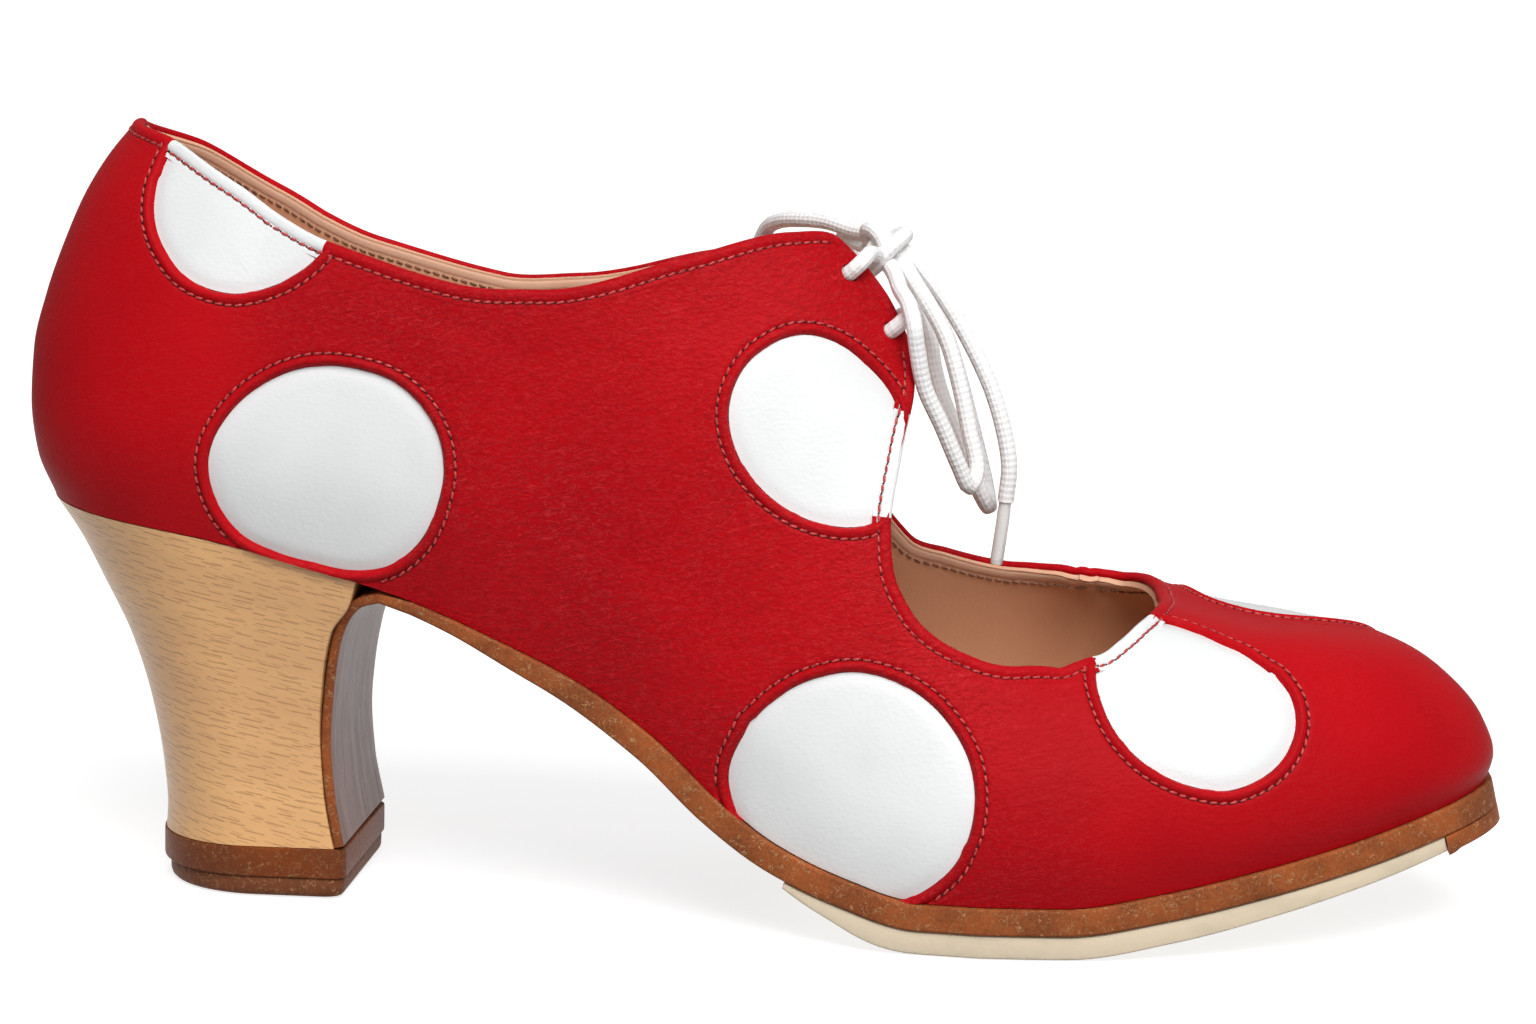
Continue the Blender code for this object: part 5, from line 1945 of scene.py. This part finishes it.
@dataclass
class Lace:
    """Braided lace through the eyelets, tied in front with two hanging loops and two ends."""

    upper: Upper
    radius: float = 1.3
    tip_radius: float = 1.05
    loop_front: tuple = (
        (136.9, -2.6, 102.4), (138.5, -6.2, 100.4), (139.6, -10.6, 98.4), (141.2, -15.0, 96.4),
        (142.1, -16.9, 93.6), (142.6, -16.4, 90.2), (143.9, -14.8, 83.8), (146.8, -13.2, 77.5),
        (149.4, -11.6, 71.5), (151.2, -10.0, 67.9), (152.2, -8.2, 70.3), (150.8, -7.6, 76.5), (149.1, -7.2, 83.6),
        (146.8, -6.8, 90.7), (144.0, -6.0, 95.8), (141.6, -4.6, 99.2), (139.8, -2.8, 101.8), (138.4, -1.4, 103.4),
    )
    loop_behind: tuple = (
        (137.6, 0.6, 102.4), (139.9, 1.8, 100.6), (142.0, 0.6, 96.0), (143.9, -0.4, 90.6), (144.9, -1.0, 85.4),
        (146.5, -1.4, 80.4), (148.6, -1.6, 75.8), (150.6, -1.2, 70.7), (152.7, 0.0, 65.7), (154.1, 2.0, 63.2),
        (153.7, 4.2, 65.6), (152.2, 5.2, 71.4), (150.4, 5.6, 77.8), (148.7, 5.8, 83.7), (146.4, 6.0, 90.3),
        (143.7, 5.8, 95.4), (141.4, 4.8, 98.9), (139.6, 3.4, 101.3), (138.0, 2.0, 102.8),
    )
    end_front: tuple = (
        (137.6, -0.6, 104.6), (140.4, -0.9, 103.4), (143.1, -1.2, 100.5), (147.1, -2.0, 95.3), (151.1, -2.6, 88.7),
        (154.3, -2.8, 82.0), (156.4, -2.8, 75.2), (157.2, -2.8, 70.2), (156.8, -2.6, 64.8),
    )
    tip_front: tuple = ((156.85, -2.6, 65.4), (156.2, -2.3, 59.5), (155.6, -2.0, 54.7))
    end_back: tuple = (
        (136.4, 1.2, 104.8), (134.0, 3.8, 106.0), (131.2, 7.0, 106.4), (126.6, 11.6, 107.4), (121.5, 16.2, 107.4),
        (118.0, 20.6, 106.7), (115.8, 24.6, 105.0), (113.6, 28.8, 99.0), (112.9, 31.2, 91.0), (112.6, 32.6, 83.6),
        (112.5, 33.3, 76.3),
    )
    tip_back: tuple = ((112.5, 33.3, 76.9), (112.4, 33.7, 71.2), (112.3, 33.8, 66.6))
    wrap: tuple = (
        (136.0, 0.4, 102.2), (134.6, -0.6, 100.9), (134.3, -2.8, 100.9), (135.5, -4.3, 102.3), (137.2, -4.5, 104.1),
        (138.8, -3.6, 105.6), (139.7, -1.2, 106.4), (138.7, 2.0, 106.1), (136.6, 3.6, 104.4), (135.0, 2.8, 102.2),
        (136.2, 0.4, 101.8),
    )
    fold: tuple = (
        (133.6, 2.6, 105.6), (133.7, 0.6, 106.9), (134.8, -1.5, 107.0), (136.2, -2.9, 105.8), (136.9, -2.6, 103.8),
        (137.2, -1.4, 102.4),
    )

    def tube(self, name: str, line: Array, radius: Any, sides: int = 16) -> bpy.types.Object:
        """Makes a round tube with UV in millimetres along it and turns round it.

        Args:
            name: Name of the piece.
            line: Middle line in millimetres.
            radius: Radius, one for all or one for each point.
            sides: Number of sides.

        Returns:
            The piece.
        """
        run = unit(np.gradient(line, axis=0))
        first = unit(np.cross(run[0], (0.3, 1.0, 0.2)))
        rows = []
        radius = np.broadcast_to(radius, (len(line),))
        turns = np.linspace(0.0, 2 * math.pi, sides + 1)[:, None]
        for k in range(len(line)):
            first = unit(first - run[k] * np.dot(first, run[k]))
            second = np.cross(run[k], first)
            rows.append(line[k] + radius[k] * (np.cos(turns) * first + np.sin(turns) * second))
        piece = Bench.lay(name, np.array(rows))
        length = np.linalg.norm(np.diff(line, axis=0), axis=1).sum()
        uv = np.zeros(len(piece.data.loops) * 2, np.float32)
        layer = piece.data.uv_layers[0].data
        layer.foreach_get("uv", uv)
        uv = uv.reshape(-1, 2)[:, ::-1] * (length, 1.0)
        layer.foreach_set("uv", uv.astype(np.float32).ravel())
        Bench.join_up(piece, fill=True)
        return piece

    def free(self, name: str, route: Any, far_end: str, with_pieces: list) -> bpy.types.Object:
        """Args:
            name: Name of its CAD node.
            route: Points of its middle line.
            far_end: What is at its far end; not used.
            with_pieces: Pieces that hang on it; not used.

        Returns:
            The piece.
        """
        line = curve_through(route, 0.8)
        piece = self.tube(f"cord_{name}", line, self.radius)
        Bench.finish(piece, CORD, Shading.SOFT, name)
        return piece

    def tip(self, name: str, route: Any) -> bpy.types.Object:
        """Makes one lace tip, pinched where it grips the cord.

        Args:
            name: Name of its CAD node.
            route: Points of its middle line.

        Returns:
            The piece.
        """
        line = curve_through(route, 0.7)
        at = np.linspace(0.0, 1.0, len(line))
        radius = self.tip_radius * (1.0 - 0.07 * np.exp(-((at - 0.12) / 0.05) ** 2))
        radius[0], radius[-1] = 0.9 * radius[0], 0.88 * radius[-1]
        return Bench.finish(self.tube(f"sleeve_{name}", line, radius), TIP, Shading.SOFT, name)

    def build_laced(self) -> bpy.types.Object:
        """Makes the stretch from the knot through all four holes and back to the knot.

        Returns:
            The piece.
        """
        near, far = self.upper.eyelets(Side.LATERAL), self.upper.eyelets(Side.MEDIAL)

        def over(eyelet: tuple[Array, Array], row: int, lift: float) -> Array:
            """Returns a point above or below one lace hole."""
            return eyelet[0][row] + lift * eyelet[1][row]

        route = [
            (136.4, -1.6, 103.0), (135.4, -6.0, 103.5), (134.6, -9.8, 103.9), over(near, 0, 1.7) + (0.9, 0.9, 1.0),
            over(near, 0, 0.2), over(near, 0, -4.2), (131.0, -4.0, 93.6), (132.5, 8.0, 90.0),
            over(far, 1, -4.2), over(far, 1, 0.0), over(far, 1, 1.7) + (0.8, -0.8, 1.0), (139.0, 13.0, 92.6),
            (139.4, 4.0, 92.9), (140.2, -6.0, 94.2), over(near, 1, 1.7) + (0.9, 0.9, 1.0),
            over(near, 1, 0.2), over(near, 1, -4.2), (129.0, -3.0, 87.6), (127.0, 8.0, 91.0),
            over(far, 0, -4.2), over(far, 0, 0.2), over(far, 0, 1.9) + (-0.2, -0.5, 1.6), (129.2, 17.4, 104.0),
            (129.4, 12.8, 105.0), (132.4, 6.8, 104.2), (135.4, 2.0, 103.6), (136.6, 0.6, 103.4),
        ]
        piece = self.tube("cord_laced", curve_through(route, 0.7), self.radius * 0.96)
        return Bench.finish(piece, CORD, Shading.SOFT, "lace_bar_top", "lace_bar_low")

    def build_knot(self) -> bpy.types.Object:
        """Makes the knot from a wrap and a fold of the lace over the strands that leave it.

        Returns:
            The piece.
        """
        heart = ((134.4, 0.4, 105.0), (136.2, 0.0, 104.0), (138.0, -0.4, 102.9), (139.4, -0.4, 101.6))
        pieces = [self.tube(f"wrap_{k}", curve_through(line, 0.5), radius)
                  for k, (line, radius) in enumerate(((self.wrap, 1.32), (self.fold, 1.28), (heart, 2.3)))]
        return Bench.finish(Bench.weld("cord_knot", pieces), CORD, Shading.SOFT, "lace_knot")

    def build(self) -> None:
        """Makes the whole lace."""
        self.build_knot()
        self.build_laced()
        self.free("lace_loop_front", self.loop_front, "object", [])
        self.free("lace_loop_behind", self.loop_behind, "object", [])
        front = self.tip("lace_tip_front", self.tip_front)
        self.free("lace_end_front", self.end_front, "fitting", [front])
        back = self.tip("lace_tip_back", self.tip_back)
        self.free("lace_end_back", self.end_back, "fitting", [back])


@dataclass
class Studio:
    """Pale floor, soft light and the camera of the photograph."""

    eye: tuple = (163.0, -600.0, 145.0)
    yaw: float = 4.2
    pitch: float = 7.9
    roll: float = 1.25
    focal: float = 3800.0
    frame_width: float = 1536.0
    near_glow: float = 0.775
    front_glow: float = 0.08
    floor_shade: float = 0.45
    world_light: float = 0.31
    look_at: tuple = (0.0, 0.0, 0.06)
    lights: tuple = (
        SoftBox("soft_box_top", (0.22, -0.82, 0.98), (0.9, 0.7), 16.5),
        SoftBox("soft_box_left", (-0.7, -1.2, 0.6), (0.8, 0.8), 0.3),
        SoftBox("soft_box_right", (0.9, -1.0, 0.7), (0.7, 0.7), 0.5),
    )

    def build_camera(self) -> bpy.types.Object:
        """Sets up the camera at the photograph's angle.

        Returns:
            The camera.
        """
        yaw, pitch, roll = (math.radians(a) for a in (self.yaw, self.pitch, self.roll))
        ahead = np.array((-math.sin(yaw) * math.cos(pitch), math.cos(yaw) * math.cos(pitch), -math.sin(pitch)))
        right = unit(np.cross(ahead, (0.0, 0.0, 1.0)))
        up = np.cross(right, ahead)
        right, up = (math.cos(roll) * right + math.sin(roll) * up, -math.sin(roll) * right + math.cos(roll) * up)
        data = bpy.data.cameras.new("camera")
        data.sensor_width = 36.0
        data.lens = 36.0 * self.focal / self.frame_width
        data.clip_start, data.clip_end = 0.05, 100.0
        camera = bpy.data.objects.new("camera", data)
        bpy.context.scene.collection.objects.link(camera)
        turn = Matrix(np.stack([right, up, -ahead], -1).tolist()).to_4x4()
        camera.matrix_world = Matrix.Translation((np.array(self.eye) - SHIFT) * MM) @ turn
        bpy.context.scene.camera = camera
        return camera

    def build_floor(self) -> bpy.types.Object:
        """Lays the pale floor and stands the white backdrop behind it.

        Returns:
            The floor.
        """
        Bench.clear()
        bpy.ops.mesh.primitive_plane_add(size=60.0, location=(0.0, 0.0, -0.0002))
        floor = bpy.context.active_object
        floor.name = "floor"
        made = bpy.data.materials.new("pale_floor")
        sheet = NodeSheet(made)
        x, y, _ = sheet.parts(sheet.spot((0.001, 0.001, 0.001)))
        square = x * x + y * y
        away = square.maths("POWER", square, 0.5)
        glow = sheet.mix(away.ramp(0.12, 0.75), (self.near_glow,) * 3, (1.0, 1.0, 1.0))
        reach = y + 0.6
        seen = abs(x - 0.0445 + 0.0734 * reach) - 0.215 * reach
        glow = sheet.mix(seen.ramp(0.22, 0.05) * y.ramp(-0.30, -0.12), (self.front_glow,) * 3, glow)
        sheet.shade(Base_Color=(*(self.floor_shade,) * 3, 1.0), Roughness=0.9,
                    Specular_IOR_Level=0.0,
                    Emission_Color=glow, Emission_Strength=1.0)
        floor.data.materials.append(made)
        bpy.ops.mesh.primitive_plane_add(size=14.0, location=(-1.8, 25.0, 6.9), rotation=(0.5 * math.pi, 0.0, 0.0))
        wall = bpy.context.active_object
        wall.name = "backdrop"
        lit = bpy.data.materials.new("white_backdrop")
        lit_sheet = NodeSheet(lit)
        lit_sheet.feed(lit_sheet.shader, {"Base Color": (0.8, 0.8, 0.8, 1.0), "Emission Color": (1.0, 1.0, 1.0, 1.0),
                                          "Emission Strength": 1.0})
        wall.data.materials.append(lit)
        for plain in (floor, wall):
            plain.visible_diffuse = False
        wall.visible_glossy = False
        return floor

    def build_light(self, box: SoftBox) -> None:
        """Adds one soft box that looks at the middle of the shoe.

        Args:
            box: The light.
        """
        data = bpy.data.lights.new(box.name, "AREA")
        data.shape = "RECTANGLE"
        data.size, data.size_y = box.size
        data.energy = box.power
        lamp = bpy.data.objects.new(box.name, data)
        bpy.context.scene.collection.objects.link(lamp)
        back = unit(np.array(box.place) - np.array(self.look_at))
        side = unit(np.cross((0.0, 1.0, 0.02), back))
        turn = Matrix(np.stack([side, np.cross(back, side), back], -1).tolist()).to_4x4()
        lamp.matrix_world = Matrix.Translation(box.place) @ turn

    def build(self) -> None:
        """Sets up camera, floor, world and lights."""
        self.build_camera()
        self.build_floor()
        world = bpy.data.worlds.new("studio")
        world.use_nodes = True
        back = world.node_tree.nodes["Background"]
        back.inputs["Color"].default_value = (1.0, 1.0, 1.0, 1.0)
        back.inputs["Strength"].default_value = self.world_light
        bpy.context.scene.world = world
        bpy.context.scene.view_settings.view_transform = "Standard"
        for box in self.lights:
            self.build_light(box)


def main() -> None:
    """Builds the studio, the lace and the shoe in order."""
    logging.basicConfig(level=logging.INFO, format="%(message)s")
    Studio().build()
    upper = Upper()
    Lace(upper).build()
    upper.build()
    Sole().build()
    Heel().build()


if __name__ == "__main__":
    main()
